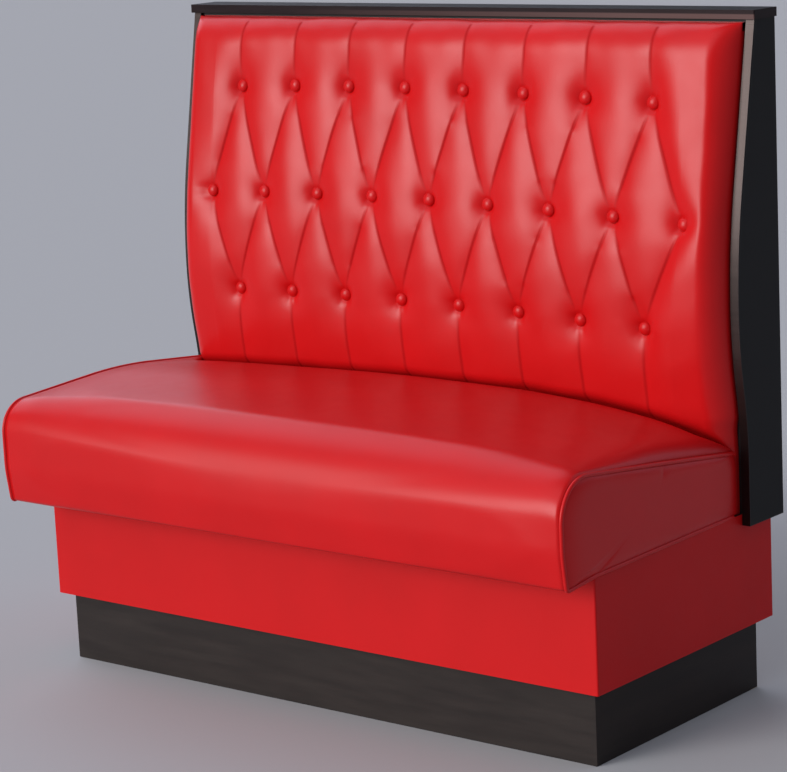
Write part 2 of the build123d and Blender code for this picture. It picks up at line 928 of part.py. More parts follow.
def save_plinth():
    holes = [wood_screw_hole(place, screw_down) for place in base_screw_places()]
    front_skin, side_skins = plinth_laminates()
    front, rear, sides, joist = plinth_boards()
    save(front_skin, "plinth_front_laminate")
    save(front, "plinth_front_board")
    save(rear, "plinth_rear_board")
    save(joist, "plinth_cross_member")
    for side, skin, board in zip(("left", "right"), side_skins, sides):
        save(skin, f"plinth_laminate_{side}")
        save(board, f"plinth_side_board_{side}")
    save_group([block - holes for block in plinth_blocks()], "plinth_corner_blocks")
    save_group([wood_screw(place, screw_down) for place in base_screw_places()], "base_screws")
    return holes


def save_box(base_holes, bolt_holes):
    floor, front, rear, sides = box_boards()
    save(floor - base_holes, "box_floor_board")
    save(front, "box_front_board")
    save(rear, "box_rear_board")
    save(box_ledger() - bolt_holes, "box_rear_ledger")
    for side, board, divider in zip(("left", "right"), sides, box_dividers()):
        save(board, f"box_side_board_{side}")
        save(divider, f"box_divider_{side}")
    save_group(box_blocks(), "box_corner_blocks")
    save(box_cover(), "box_vinyl_cover")


def save_seat():
    places = cleat_screw_places()
    holes = [screw_hole(place, screw_up, screw_radius, cleat_screw_length) for place in places]
    save(seat_deck() - holes, "seat_deck")
    save(dust_cloth() - holes, "seat_dust_cloth")
    save_group([seat_cleat(x) - holes for x in mirrored_x(cleat_x)], "seat_locating_cleats")
    save_group([cleat_screw(place) for place in places], "seat_cleat_screws")
    save(seat_foam(), "seat_foam")
    save(seat_cover(), "seat_cover")
    for side, name in ((-1, "left"), (1, "right")):
        save(seat_side_panel(side), f"seat_side_panel_{name}")
        save(seat_piping(side), f"seat_piping_{name}")


def save_back(bolt_holes):
    cap_holes = [
        screw_hole(place, screw_up, screw_radius, cap_screw_length) for place in cap_screw_places()
    ]
    rear_holes = [wood_screw_hole(place, screw_forward) for place in rear_screw_places()]
    head_room = screw_head_radius + screw_gap
    head_holes = [
        rod(x, rear_y + overrun, z, head_room, screw_head_height + overrun, screw_forward)
        for x, y, z in rear_screw_places()
    ]
    panel_holes = {
        side: [
            screw_hole(place, (side, 0, 0), screw_radius, panel_screw_length)
            for place in panel_screw_places(side)
        ]
        for side in (-1, 1)
    }
    rib_names = ("end_rib_left", "inner_rib_left", "inner_rib_right", "end_rib_right")
    for x, name in zip(rib_centres, rib_names):
        side = 1 if x > 0 else -1
        save(back_rib(x) - rear_holes - panel_holes[side], f"back_{name}")
    bottom, top = back_rails()
    save(bottom - bolt_holes, "back_bottom_rail")
    save(top - cap_holes, "back_top_rail")
    save_group([bolt(place) for place in bolt_places()], "back_bolts")
    save(rear_panel() - rear_holes - head_holes, "back_rear_panel")
    save_group([wood_screw(place, screw_forward) for place in rear_screw_places()], "rear_panel_screws")

    holes = twine_holes()
    save(back_board() - holes, "back_bent_board")
    save(back_foam() - holes, "back_foam")
    save(tufted_cover() - button_pockets() - holes, "tufted_back_cover")
    for (z, places), name in zip(button_rows(), ("top", "middle", "low")):
        save_group([button(x, z) for x in places], f"buttons_{name}_row")
    spots = [(x, z) for z, places in button_rows() for x in places]
    save_group([twine(x, z) for x, z in spots], "button_twines")
    save_group([washer(x, z) for x, z in spots], "button_washers")

    for side, name in ((-1, "left"), (1, "right")):
        core, inner, outer, band = side_panel(side)
        save(core - panel_holes[side], f"side_panel_{name}")
        skins = [skin - panel_holes[side] for skin in (inner, outer)]
        save_group(skins, f"side_panel_laminate_{name}")
        save(band, f"side_panel_edge_band_{name}")
    save_group(
        [panel_screw(place, side) for side in (-1, 1) for place in panel_screw_places(side)],
        "side_panel_screws",
    )

    core, top_skin, ring = cap_pieces()
    save(core - cap_holes, "top_cap")
    save(top_skin, "top_cap_laminate")
    save(ring, "top_cap_edge_band")
    save_group([cap_screw(place) for place in cap_screw_places()], "top_cap_screws")


os.makedirs("parts", exist_ok=True)
ledger_holes = [screw_hole(place, screw_down, bolt_radius, bolt_length) for place in bolt_places()]
plinth_holes = save_plinth()
save_box(plinth_holes, ledger_holes)
save_seat()
save_back(ledger_holes)
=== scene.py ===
import json
import math

import bpy
import numpy as np
from mathutils import Matrix, Vector


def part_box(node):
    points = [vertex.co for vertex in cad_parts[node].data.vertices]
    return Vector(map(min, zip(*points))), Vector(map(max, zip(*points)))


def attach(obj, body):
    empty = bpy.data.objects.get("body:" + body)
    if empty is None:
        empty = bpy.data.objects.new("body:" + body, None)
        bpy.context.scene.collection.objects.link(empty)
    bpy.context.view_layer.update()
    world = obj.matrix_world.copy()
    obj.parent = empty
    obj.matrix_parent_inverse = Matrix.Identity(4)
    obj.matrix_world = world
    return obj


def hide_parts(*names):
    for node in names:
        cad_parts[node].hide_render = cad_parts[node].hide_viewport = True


# Restaurant booth: looks of the tufted back, the crowned seat, the covered box and the laminate
# Metres throughout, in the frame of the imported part: X across, -Y to the front, Z up

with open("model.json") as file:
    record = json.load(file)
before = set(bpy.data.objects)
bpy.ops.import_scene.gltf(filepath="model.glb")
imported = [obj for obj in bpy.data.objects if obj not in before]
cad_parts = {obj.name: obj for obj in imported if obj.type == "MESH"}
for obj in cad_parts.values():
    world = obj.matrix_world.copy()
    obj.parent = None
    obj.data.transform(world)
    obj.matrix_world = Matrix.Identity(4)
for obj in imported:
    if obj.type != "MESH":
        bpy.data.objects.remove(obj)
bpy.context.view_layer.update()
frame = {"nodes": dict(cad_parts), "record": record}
MM = 0.001

# Ends and heights that the pieces follow
PANEL_INNER_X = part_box("back_bottom_rail")[1].x
BACK_BOTTOM_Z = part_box("back_bottom_rail")[0].z
CAP_BOTTOM_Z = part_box("top_cap")[0].z
CAP_END_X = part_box("top_cap_edge_band")[1].x
REAR_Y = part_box("back_rear_panel")[1].y
BOX_FRONT_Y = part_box("box_vinyl_cover")[0].y
BOX_TOP_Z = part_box("box_vinyl_cover")[1].z

# Line of the back: upright, forward at the small of the back, then leaning back
PANEL_LOW_DEPTH = 97.4 * MM
LUMBAR_DEPTH = 118.3 * MM
LUMBAR_START_Z = 375 * MM
LUMBAR_Z = 620 * MM
LEAN_RADIUS = 1036 * MM
LEAN_ANGLE = math.radians(10)
BOARD_SETBACK = 5.5 * MM

# Back cushion
PAD_PROUD = 47 * MM
PAD_SEAT_PROUD = 40 * MM
GROOVE_DEPTH = 15 * MM
GROOVE_RISE = 13 * MM
GROOVE_HEIGHT = 24 * MM
PAD_EDGE_PROUD = 3 * MM
PAD_END_GAP = 3.5 * MM
FLANK_WIDTH = 38 * MM
FLANK_START_POWER = 2.2
FLANK_END_POWER = 0.75
FLANK_CROWDING = 1.2
FLANK_STEPS = 22
END_ROUNDING = 8 * MM
END_ROUNDING_WIDTH = 120 * MM
ROLL_START_DROP = 58 * MM
ROLL_LENGTH = 71 * MM
ROLL_BEND = 1.7
ROLL_STEPS = 24
CREASE_END_BACK = 18 * MM
TUCK_DROP = 13 * MM
TUCK_BEND = 1.6
TUCK_STEPS = 8
CREASE_STEPS = 40
LOW_ROW_STEP = 4.6 * MM

# Tufting
TUFT_DEPTH = 19 * MM
PIT_RADIUS = 8 * MM
PIT_FALL = 18 * MM
PIT_POWER = 1.2
BOWL_RADIUS = 12 * MM
CREASE_FALL = 16 * MM
CREASE_DEPTH = 9 * MM
FREE_CREASE_DEPTH = 8 * MM
TOP_CREASE_RUN = 70 * MM
LOW_CREASE_RUN = 130 * MM
FOLD_FADE = 34 * MM
BLEND_RADIUS = 32 * MM
BLEND_ROUNDS = 24
PLEAT_DEPTH = 0.5 * MM
FREE_PLEAT_SHARE = 0.8
# Painted shade beside each crease as (columns away, share of its strength)
CREASE_SHADES = ((1, 0.75), (2, 0.35))
FOAM_REACH = 28 * MM
RIGHT_END_REACH = 26 * MM
CREASE_SLACK = 0.14
END_TUCK_LENGTH = 38 * MM
END_TUCK_DEPTH = 15 * MM
END_TUCK_FALL = 14 * MM
END_TUCK_LEAST = 2 * MM
PUCKER_HEIGHT = 0.25 * MM
PUCKER_RADIUS = 16 * MM
PUCKER_FALL = 7 * MM
PUCKER_FOLDS = 6
SETTLE_ROUNDS = 130
SETTLE_STEP = 1.85

# Unevenness of the foam: its height, and two crossed waves as (turn along X, turn along Z, start)
SLOW_RISE = 0.9 * MM
SLOW_WAVES = ((21, 7, 1.3), (-9, 17, 0.6))
QUICK_RISE = 0.35 * MM
QUICK_WAVES = ((74, -31, 0), (43, 57, 2.1))

# Filling: how hard the covers are pushed out, how far at most, and how often that is evened out
CLOTH_FRAMES = 20
CLOTH_COLUMN_STEP = 4
CLOTH_SETTINGS = {
    "quality": 6,
    "mass": 0.4,
    "tension_stiffness": 12,
    "compression_stiffness": 4,
    "shear_stiffness": 4,
    "bending_stiffness": 15,
    "use_pressure": True,
    "vertex_group_mass": "held",
}
PAD_FILLING = (4, 3 * MM, 4)
SEAT_FILLING = (4, 4 * MM, 120)
END_FILLING = (3, 2 * MM, 20)

# Buttons
BUTTON_PITCH = 119 * MM
TOP_ROW_Z = 938 * MM
MIDDLE_ROW_Z = 759 * MM
LOW_ROW_Z = 592 * MM
TOP_ROW_COUNT = 8
BUTTON_RADIUS = 11 * MM
BUTTON_DOME = 7 * MM
BUTTON_LIFT = 2 * MM
SLOPE_REACH = 5 * MM
BUTTON_ASKEW = math.radians(4)
BUTTON_SEED = 5

# Hand-drawn cover: the rows bow, and the last bay on the right is pulled wider
BOW_RISE = 5 * MM
BOW_END_DROP = 10 * MM
BOW_TILT = 3 * MM
ROW_HEIGHTS = (LOW_ROW_Z, MIDDLE_ROW_Z, TOP_ROW_Z)
ROW_SHIFTS = (4 * MM, 3 * MM, -1 * MM)
ROW_DROPS = (0, 0, 3 * MM)
END_PULLS = (3 * MM, 14 * MM, 13 * MM)
END_PULL_START = 0.6
END_PULL_POWER = 1.5
CENTRE_PULL = 4 * MM
CENTRE_PULL_START = -0.9
CENTRE_PULL_RUN = 0.6
PULL_LOW_Z = 470 * MM
PULL_LOW_FADE = 90 * MM
PULL_TOP_FADE = 50 * MM

# Seat
SEAM_FRONT_X = 560 * MM
SEAM_REAR_X = 548.5 * MM
SEAT_FRONT_Y = -288.9 * MM
SEAT_FRONT_CROWN = 3.1 * MM
LEFT_FULLNESS = 4 * MM
SEAT_MIDDLE_Y = -20 * MM
SEAT_SIDE_GAP = 4 * MM
SIDE_GAP_TOP_Z = 455 * MM
SIDE_GAP_FADE = 25 * MM
SEAT_REAR_GAP = 1 * MM
PIPING_RADIUS = 3.2 * MM
PIPING_INSET = 0.8 * MM
PIPING_REAR_GAP = 8 * MM
PIPING_SIDES = 14
SEAT_STATIONS = 97
STATION_CROWDING = 0.4
HELD_HEIGHT = 2 * MM
HELD_FRONT = 10 * MM
HELD_REAR = 12 * MM
END_RING_SHARES = (1, 0.992, 0.978, 0.955, 0.92, 0.87, 0.8, 0.7, 0.58, 0.44, 0.3, 0.15)
END_INSET = 1.2 * MM
END_SINK = 3.4 * MM
END_DOME = 6.6 * MM
END_DOME_POWER = 20

# Satin edges: where the cap's gets its painted reflection, and where the side panels' goes from painted shade
# below to its own warm grey
SHEEN_TOP_Z = CAP_BOTTOM_Z + 8.5 * MM
SHEEN_FULL_Z = CAP_BOTTOM_Z + 6.5 * MM
SHEEN_LEFT_X = -350 * MM
SHEEN_RIGHT_X = 350 * MM
SHEEN_END_X = CAP_END_X - 0.2 * MM
SHEEN_START_X = CAP_END_X - 0.4 * MM
EDGE_SHADE_FULL_Z = 450 * MM
EDGE_SHADE_END_Z = 650 * MM

# Lights as (name, azimuth, elevation, width, strength, colour), with angles in degrees
SUNS = (
    ("key", -23, 14, 30, 2.4, (1, 1, 1)),
    ("window", -112, 38, 60, 1.35, (0.8, 0.83, 1.0)),
    ("top", -12, 47, 60, 1.05, (0.86, 0.88, 1.0)),
    ("fill", 70, 25, 60, 0.2, (0.85, 0.9, 1.0)),
    ("side", 150, 36, 60, 0.5, (0.7, 0.75, 1.0)),
)
WORLD_STRENGTH = 0.1
FLOOR_HALF = 60.0

# Camera, with angles in degrees
CAMERA_PLACE = (2.8042, -3.378, 1.3824)
CAMERA_AZIMUTH = 39.4
CAMERA_ELEVATION = 11.58
CAMERA_ROLL = -2.65
CAMERA_LENS = 128.6
CAMERA_SHIFT = (0.0017, 0.0009)


def clamped(value):
    """A share kept between 0 and 1."""
    return min(max(value, 0), 1)


def blank_material(name):
    """A node material with its tree and its shader."""
    material = bpy.data.materials.new(name)
    material.use_nodes = True
    tree = material.node_tree
    shader = tree.nodes["Principled BSDF"]
    return material, tree, shader


def object_coordinates(tree, scale=(1, 1, 1)):
    """Object coordinates, stretched by a mapping."""
    coords = tree.nodes.new("ShaderNodeTexCoord")
    mapping = tree.nodes.new("ShaderNodeMapping")
    mapping.inputs["Scale"].default_value = scale
    tree.links.new(coords.outputs["Object"], mapping.inputs["Vector"])
    return mapping.outputs["Vector"]


def ramp(tree, source, stops):
    """A colour ramp over a value; stops are (position, colour)."""
    node = tree.nodes.new("ShaderNodeValToRGB")
    elements = node.color_ramp.elements
    while len(elements) < len(stops):
        elements.new(0.5)
    for element, (position, colour) in zip(elements, stops):
        element.position = position
        element.color = (*colour, 1)
    tree.links.new(source, node.inputs["Fac"])
    return node.outputs["Color"]


def spread(tree, source, low, high, start=0.0, end=1.0):
    """A value between start and end brought into a range."""
    node = tree.nodes.new("ShaderNodeMapRange")
    for label, value in (("From Min", start), ("From Max", end), ("To Min", low), ("To Max", high)):
        node.inputs[label].default_value = value
    tree.links.new(source, node.inputs["Value"])
    return node.outputs["Result"]


def bump(tree, shader, height, distance, strength=1.0, under=None):
    """Bump from a height; under is the normal of a coarser bump below it."""
    node = tree.nodes.new("ShaderNodeBump")
    node.inputs["Distance"].default_value = distance
    node.inputs["Strength"].default_value = strength
    tree.links.new(height, node.inputs["Height"])
    if under is not None:
        tree.links.new(under, node.inputs["Normal"])
    tree.links.new(node.outputs["Normal"], shader.inputs["Normal"])
    return node.outputs["Normal"]


def noise(tree, vector, scale, detail=3.0, roughness=0.5):
    node = tree.nodes.new("ShaderNodeTexNoise")
    node.inputs["Scale"].default_value = scale
    node.inputs["Detail"].default_value = detail
    node.inputs["Roughness"].default_value = roughness
    tree.links.new(vector, node.inputs["Vector"])
    return node.outputs["Fac"]


def grain(tree, vector, scale):
    """Small raised cells with soft valleys, as on embossed vinyl."""
    node = tree.nodes.new("ShaderNodeTexVoronoi")
    node.feature = "SMOOTH_F1"
    node.inputs["Scale"].default_value = scale
    node.inputs["Smoothness"].default_value = 0.6
    tree.links.new(vector, node.inputs["Vector"])
    return node.outputs["Distance"]


def mixed(tree, factor, under, over):
    """One colour laid over another by a factor."""
    node = tree.nodes.new("ShaderNodeMix")
    node.data_type = "RGBA"
    tree.links.new(factor, node.inputs[0])
    for socket, colour in ((node.inputs[6], under), (node.inputs[7], over)):
        if isinstance(colour, tuple):
            socket.default_value = (*colour, 1)
        else:
            tree.links.new(colour, socket)
    return node.outputs[2]


def combined(tree, operation, first, second):
    """Two values added, multiplied or compared."""
    node = tree.nodes.new("ShaderNodeMath")
    node.operation = operation
    tree.links.new(first, node.inputs[0])
    tree.links.new(second, node.inputs[1])
    return node.outputs["Value"]


def place_in_object(tree):
    """Object coordinates as three separate values."""
    node = tree.nodes.new("ShaderNodeSeparateXYZ")
    tree.links.new(object_coordinates(tree), node.inputs["Vector"])
    return node.outputs


def vinyl_material(name, base, shade, roughness=(0.31, 0.38), ripple=0.06 * MM, shine=0.25, shaded_creases=False):
    """Semi-gloss upholstery vinyl: grain, slow colour variation, ripples and, if asked, duller creases
    painted darker as painted shade.
    """
    material, tree, shader = blank_material(name)
    vector = object_coordinates(tree)
    colour = ramp(tree, noise(tree, vector, 7.0), [(0.3, shade), (0.7, base)])
    wear = spread(tree, noise(tree, vector, 38.0), *roughness)
    shader.inputs["Specular IOR Level"].default_value = shine
    if shaded_creases:
        crease = tree.nodes.new("ShaderNodeAttribute")
        crease.attribute_name = "crease"
        crease_shade = crease.outputs["Fac"]
        # Painted shade: the creases are painted a darker red
        colour = mixed(tree, spread(tree, crease_shade, 0.0, 0.5), colour, CREASE_SHADE_RED)
        wear = combined(tree, "ADD", wear, spread(tree, crease_shade, 0.0, 0.2))
        tree.links.new(spread(tree, crease_shade, shine, 0.04), shader.inputs["Specular IOR Level"])
    tree.links.new(colour, shader.inputs["Base Color"])
    tree.links.new(wear, shader.inputs["Roughness"])
    under = bump(tree, shader, noise(tree, vector, 24.0, 2.0), ripple)
    bump(tree, shader, grain(tree, vector, 620.0), 0.12 * MM, 0.5, under)
    return material


def laminate_material(name, base, light, roughness, streak=(8, 8, 90), shine=0.25, tint=(1, 1, 1)):
    """Pressed laminate with a faint drawn-out figure."""
    material, tree, shader = blank_material(name)
    shader.inputs["Specular IOR Level"].default_value = shine
    shader.inputs["Specular Tint"].default_value = (*tint, 1)
    vector = object_coordinates(tree, streak)
    figure = noise(tree, vector, 1.4, 6.0, 0.6)
    tree.links.new(ramp(tree, figure, [(0.35, base), (0.75, light)]), shader.inputs["Base Color"])
    tree.links.new(spread(tree, figure, *roughness), shader.inputs["Roughness"])
    fine = noise(tree, object_coordinates(tree), 900.0, 2.0)
    bump(tree, shader, fine, 0.06 * MM, 0.6)
    return material


def plywood_material(name, dark, light):
    """Plywood with long fibres along X, in its own colours or painted dark as painted shade."""
    material, tree, shader = blank_material(name)
    fibres = noise(tree, object_coordinates(tree, (6, 60, 60)), 3.0, 6.0, 0.65)
    tree.links.new(ramp(tree, fibres, [(0.3, dark), (0.7, light)]), shader.inputs["Base Color"])
    shader.inputs["Roughness"].default_value = 0.62
    bump(tree, shader, fibres, 0.2 * MM, 0.5)
    return material


def cap_edge_material():
    """Satin edge of the cap: dark, with a painted reflection, a warm grey band, along its lower half towards
    the right.
    """
    material, tree, shader = blank_material("cap_edge")
    figure = noise(tree, object_coordinates(tree, (8, 8, 90)), 1.4, 6.0, 0.6)
    shader.inputs["Specular IOR Level"].default_value = 0.13
    shader.inputs["Specular Tint"].default_value = (1, 0.8, 0.8, 1)
    dark = ramp(tree, figure, [(0.35, (0.010, 0.006, 0.007)), (0.75, (0.016, 0.010, 0.011))])
    place = place_in_object(tree)
    low = spread(tree, place["Z"], 0.0, 1.0, SHEEN_TOP_Z, SHEEN_FULL_Z)
    right = spread(tree, place["X"], 0.0, 1.0, SHEEN_LEFT_X, SHEEN_RIGHT_X)
    front = spread(tree, place["X"], 0.0, 1.0, SHEEN_END_X, SHEEN_START_X)
    # Painted reflection: a warm grey band on the lower half, growing towards the right, kept off the end face
    painted_sheen = combined(tree, "MULTIPLY", combined(tree, "MULTIPLY", low, right), front)
    tree.links.new(mixed(tree, painted_sheen, dark, (0.105, 0.06, 0.055)), shader.inputs["Base Color"])
    tree.links.new(spread(tree, figure, 0.3, 0.4), shader.inputs["Roughness"])
    bump(tree, shader, figure, 0.1 * MM, 0.4)
    return material


def panel_edge_material():
    """Satin edge of the side panels: warm grey above, dark below where painted shade stands for the seat's
    shadow.
    """
    base, light, dark = (0.020, 0.015, 0.014), (0.034, 0.026, 0.024), (0.005, 0.004, 0.004)
    material = laminate_material("satin_edge", base, light, (0.24, 0.34), shine=0.33, tint=(1, 0.78, 0.73))
    tree = material.node_tree
    shader = tree.nodes["Principled BSDF"]
    pale = shader.inputs["Base Color"].links[0].from_socket
    # Painted shade: the edge goes dark below the seat's height
    high = spread(tree, place_in_object(tree)["Z"], 0.0, 1.0, EDGE_SHADE_FULL_Z, EDGE_SHADE_END_Z)
    tree.links.new(mixed(tree, high, dark, pale), shader.inputs["Base Color"])
    return material


def foam_material():
    material, tree, shader = blank_material("open_cell_foam")
    cells = noise(tree, object_coordinates(tree), 700.0, 2.0)
    colour = ramp(tree, cells, [(0.35, (0.55, 0.42, 0.2)), (0.65, (0.78, 0.66, 0.38))])
    tree.links.new(colour, shader.inputs["Base Color"])
    shader.inputs["Roughness"].default_value = 0.9
    bump(tree, shader, cells, 0.5 * MM)
    return material


def woven_material(name, base, light, scale):
    """Plain weave from two crossed waves."""
    material, tree, shader = blank_material(name)
    vector = object_coordinates(tree)
    waves = []
    for direction in ("X", "Y"):
        wave = tree.nodes.new("ShaderNodeTexWave")
        wave.bands_direction = direction
        wave.inputs["Scale"].default_value = scale
        tree.links.new(vector, wave.inputs["Vector"])
        waves.append(wave.outputs["Fac"])
    height = combined(tree, "MAXIMUM", *waves)
    tree.links.new(ramp(tree, height, [(0.2, base), (0.8, light)]), shader.inputs["Base Color"])
    shader.inputs["Roughness"].default_value = 0.85
    bump(tree, shader, height, 0.2 * MM)
    return material


def steel_material():
    """Zinc-plated steel with a fine brushed figure."""
    material, tree, shader = blank_material("zinc_plated_steel")
    brushed = noise(tree, object_coordinates(tree, (40, 40, 400)), 6.0, 3.0)
    colour = ramp(tree, brushed, [(0.3, (0.42, 0.43, 0.45)), (0.7, (0.6, 0.6, 0.62))])
    tree.links.new(colour, shader.inputs["Base Color"])
    shader.inputs["Metallic"].default_value = 1.0
    tree.links.new(spread(tree, brushed, 0.28, 0.42), shader.inputs["Roughness"])
    return material


RED = (0.58, 0.0055, 0.007)
DEEP_RED = (0.54, 0.005, 0.006)
# Darker red painted into the creases as painted shade
CREASE_SHADE_RED = (0.2, 0.001, 0.002)

back_vinyl = vinyl_material("tufted_back_vinyl", RED, DEEP_RED, shaded_creases=True)
seat_vinyl = vinyl_material("seat_vinyl", RED, DEEP_RED)
box_vinyl = vinyl_material("box_vinyl", RED, DEEP_RED, (0.42, 0.52), 0.15 * MM, 0.17)
dark_laminate = laminate_material(
    "charcoal_laminate", (0.004, 0.004, 0.0045), (0.008, 0.0075, 0.008), (0.42, 0.55), shine=0.16
)
edge_laminate = panel_edge_material()
plinth_laminate = laminate_material(
    "plinth_laminate", (0.014, 0.009, 0.0075), (0.026, 0.018, 0.015), (0.45, 0.6), (5, 5, 40)
)
cap_edge = cap_edge_material()
plywood = plywood_material("birch_plywood", (0.46, 0.29, 0.14), (0.66, 0.47, 0.27))
# Plywood painted near-black as painted shade, for boards seen in gaps
shade_dark_plywood = plywood_material("shade_dark_plywood", (0.006, 0.005, 0.005), (0.014, 0.011, 0.010))

NODE_MATERIALS = {
    "plywood": plywood,
    "plinth_laminate": plinth_laminate,
    "dark_laminate": dark_laminate,
    "red_vinyl": box_vinyl,
    "foam": foam_material(),
    "black_cloth": woven_material("dust_cloth_weave", (0.008, 0.008, 0.008), (0.03, 0.03, 0.03), 300.0),
    "twine": woven_material("waxed_twine", (0.42, 0.36, 0.24), (0.62, 0.55, 0.4), 500.0),
    "steel": steel_material(),
}
SPECIAL_NODES = {
    "side_panel_edge_band_left": edge_laminate,
    "side_panel_edge_band_right": edge_laminate,
    "top_cap_edge_band": cap_edge,
}
# Boards that show only in narrow gaps: painted dark, as painted shade for the gaps
for board in (
    "side_panel_left", "side_panel_right", "back_bent_board", "back_bottom_rail", "back_end_rib_left",
    "back_end_rib_right", "box_side_board_left", "box_side_board_right", "plinth_front_board",
    "plinth_side_board_left", "plinth_side_board_right",
):
    SPECIAL_NODES[board] = shade_dark_plywood


def dress_cad_nodes():
    """Gives every CAD node the material of its slot."""
    slots = {entry["node"]: entry["material_slot"] for entry in frame["record"]["subparts"]}
    for name, node in frame["nodes"].items():
        material = SPECIAL_NODES.get(name) or NODE_MATERIALS[slots[name]]
        if not node.material_slots:
            node.data.materials.append(material)
        for slot in node.material_slots:
            slot.material = material


def in_scene(name, data):
    """A new object that holds this mesh, lamp or camera."""
    thing = bpy.data.objects.new(name, data)
    bpy.context.scene.collection.objects.link(thing)
    return thing


def make_piece(name, points, faces, material, flat=()):
    """A mesh object at the origin; flat lists the faces that are left unsmoothed."""
    mesh = bpy.data.meshes.new(name)
    mesh.from_pydata([tuple(point) for point in points], [], faces)
    mesh.materials.append(material)
    smooth = np.ones(len(mesh.polygons), bool)
    smooth[list(flat)] = False
    mesh.polygons.foreach_set("use_smooth", smooth)
    return in_scene(name, mesh)


def finished(piece):
    """The piece with its modifiers worked into a plain mesh."""
    bpy.context.view_layer.update()
    graph = bpy.context.evaluated_depsgraph_get()
    mesh = bpy.data.meshes.new_from_object(piece.evaluated_get(graph))
    piece.modifiers.clear()
    piece.data = mesh
    return piece


def evened(step, faces, held, rounds):
    """Movement of a cover's points with its small waves evened out, and still nothing where it is held."""
    edges = np.array([(face[k - 1], face[k]) for face in faces for k in range(len(face))])
    edges = np.concatenate([edges, edges[:, ::-1]])
    counts = np.bincount(edges[:, 0], minlength=len(step))[:, None]
    for _ in range(rounds):
        around = [np.bincount(edges[:, 0], step[edges[:, 1], axis], len(step)) for axis in range(3)]
        step = np.where(held[:, None], 0, (step + np.stack(around, axis=1) / counts) / 2)
    return step


def puffed(points, faces, held, filling):
    """Points of a cover held along its seams while its filling pushes it out, none moved too far."""
    pressure, most, rounds = filling
    scene = bpy.context.scene
    piece = make_piece("cover_being_filled", points, faces, back_vinyl)
    group = piece.vertex_groups.new(name="held")
    group.add([int(k) for k in np.flatnonzero(held)], 1.0, "REPLACE")
    cloth = piece.modifiers.new("cloth", "CLOTH")
    for label, value in CLOTH_SETTINGS.items():
        setattr(cloth.settings, label, value)
    cloth.settings.uniform_pressure_force = pressure
    cloth.settings.effector_weights.gravity = 0
    cloth.point_cache.frame_end = CLOTH_FRAMES
    for number in range(1, CLOTH_FRAMES + 1):
        scene.frame_set(number)
    graph = bpy.context.evaluated_depsgraph_get()
    mesh = piece.evaluated_get(graph).data
    moved = np.zeros(len(mesh.vertices) * 3)
    mesh.vertices.foreach_get("co", moved)
    step = evened(moved.reshape(-1, 3) - points, faces, held, rounds)
    bpy.data.objects.remove(piece)
    scene.frame_set(1)
    length = np.linalg.norm(step, axis=1, keepdims=True)
    return points + step * np.minimum(1, most / np.maximum(length, 1e-9))


# Back cushion

PANEL_LOW_Y = REAR_Y - PANEL_LOW_DEPTH
LUMBAR_Y = REAR_Y - LUMBAR_DEPTH
S_RISE = (LUMBAR_Z - LUMBAR_START_Z) / 2
S_RUN = (PANEL_LOW_Y - LUMBAR_Y) / 2
S_RADIUS = (S_RISE * S_RISE + S_RUN * S_RUN) / (2 * S_RUN)
LEAN_START_Z = LUMBAR_Z + LEAN_RADIUS * math.sin(LEAN_ANGLE)
LEAN_START_Y = LUMBAR_Y + LEAN_RADIUS * (1 - math.cos(LEAN_ANGLE))
ROLL_START_Z = CAP_BOTTOM_Z - ROLL_START_DROP
PAD_END_X = PANEL_INNER_X - PAD_END_GAP
FLANK_X = PAD_END_X - FLANK_WIDTH
OUTER_X = TOP_ROW_COUNT * BUTTON_PITCH / 2
TOP_ROW_X = [(k - (TOP_ROW_COUNT - 1) / 2) * BUTTON_PITCH for k in range(TOP_ROW_COUNT)]


def back_line_y(z):
    """Depth of the side panel's front edge at a height."""
    if z <= LUMBAR_START_Z:
        return PANEL_LOW_Y
    if z <= LUMBAR_START_Z + S_RISE:
        return PANEL_LOW_Y - S_RADIUS + math.sqrt(S_RADIUS ** 2 - (z - LUMBAR_START_Z) ** 2)
    if z <= LUMBAR_Z:
        return LUMBAR_Y + S_RADIUS - math.sqrt(S_RADIUS ** 2 - (LUMBAR_Z - z) ** 2)
    if z <= LEAN_START_Z:
        return LUMBAR_Y + LEAN_RADIUS - math.sqrt(LEAN_RADIUS ** 2 - (z - LUMBAR_Z) ** 2)
    return LEAN_START_Y + (z - LEAN_START_Z) * math.tan(LEAN_ANGLE)


def pad_proud_at(z):
    """How far the pillows stand in front of the side panel's edge, below the top roll."""
    share = clamped((z - LUMBAR_START_Z) / (LOW_ROW_Z - LUMBAR_START_Z))
    return PAD_SEAT_PROUD + (PAD_PROUD - PAD_SEAT_PROUD) * share


def groove_at(z, seat_z):
    """How far the pad turns in above the seat."""
    share = clamped((seat_z + GROOVE_RISE - z) / GROOVE_HEIGHT)
    return GROOVE_DEPTH * share * share


def seat_side_gap_at(z):
    """Room beside the pad's flank for the end of the seat."""
    share = clamped((SIDE_GAP_TOP_Z - z) / SIDE_GAP_FADE)
    return SEAT_SIDE_GAP * share * share * (3 - 2 * share)


def button_places():
    """Places of the buttons as (x, z), row by row from the top."""
    middle = [(k - TOP_ROW_COUNT / 2) * BUTTON_PITCH for k in range(TOP_ROW_COUNT + 1)]
    rows = ((TOP_ROW_Z, TOP_ROW_X), (MIDDLE_ROW_Z, middle), (LOW_ROW_Z, TOP_ROW_X))
    return [(x, z) for z, xs in rows for x in xs]


def flank_fall(share):
    """Fall of the pad's face towards its end, from 0 where the flank starts to 1 at the end."""
    return 1 - (1 - clamped(share) ** FLANK_START_POWER) ** FLANK_END_POWER


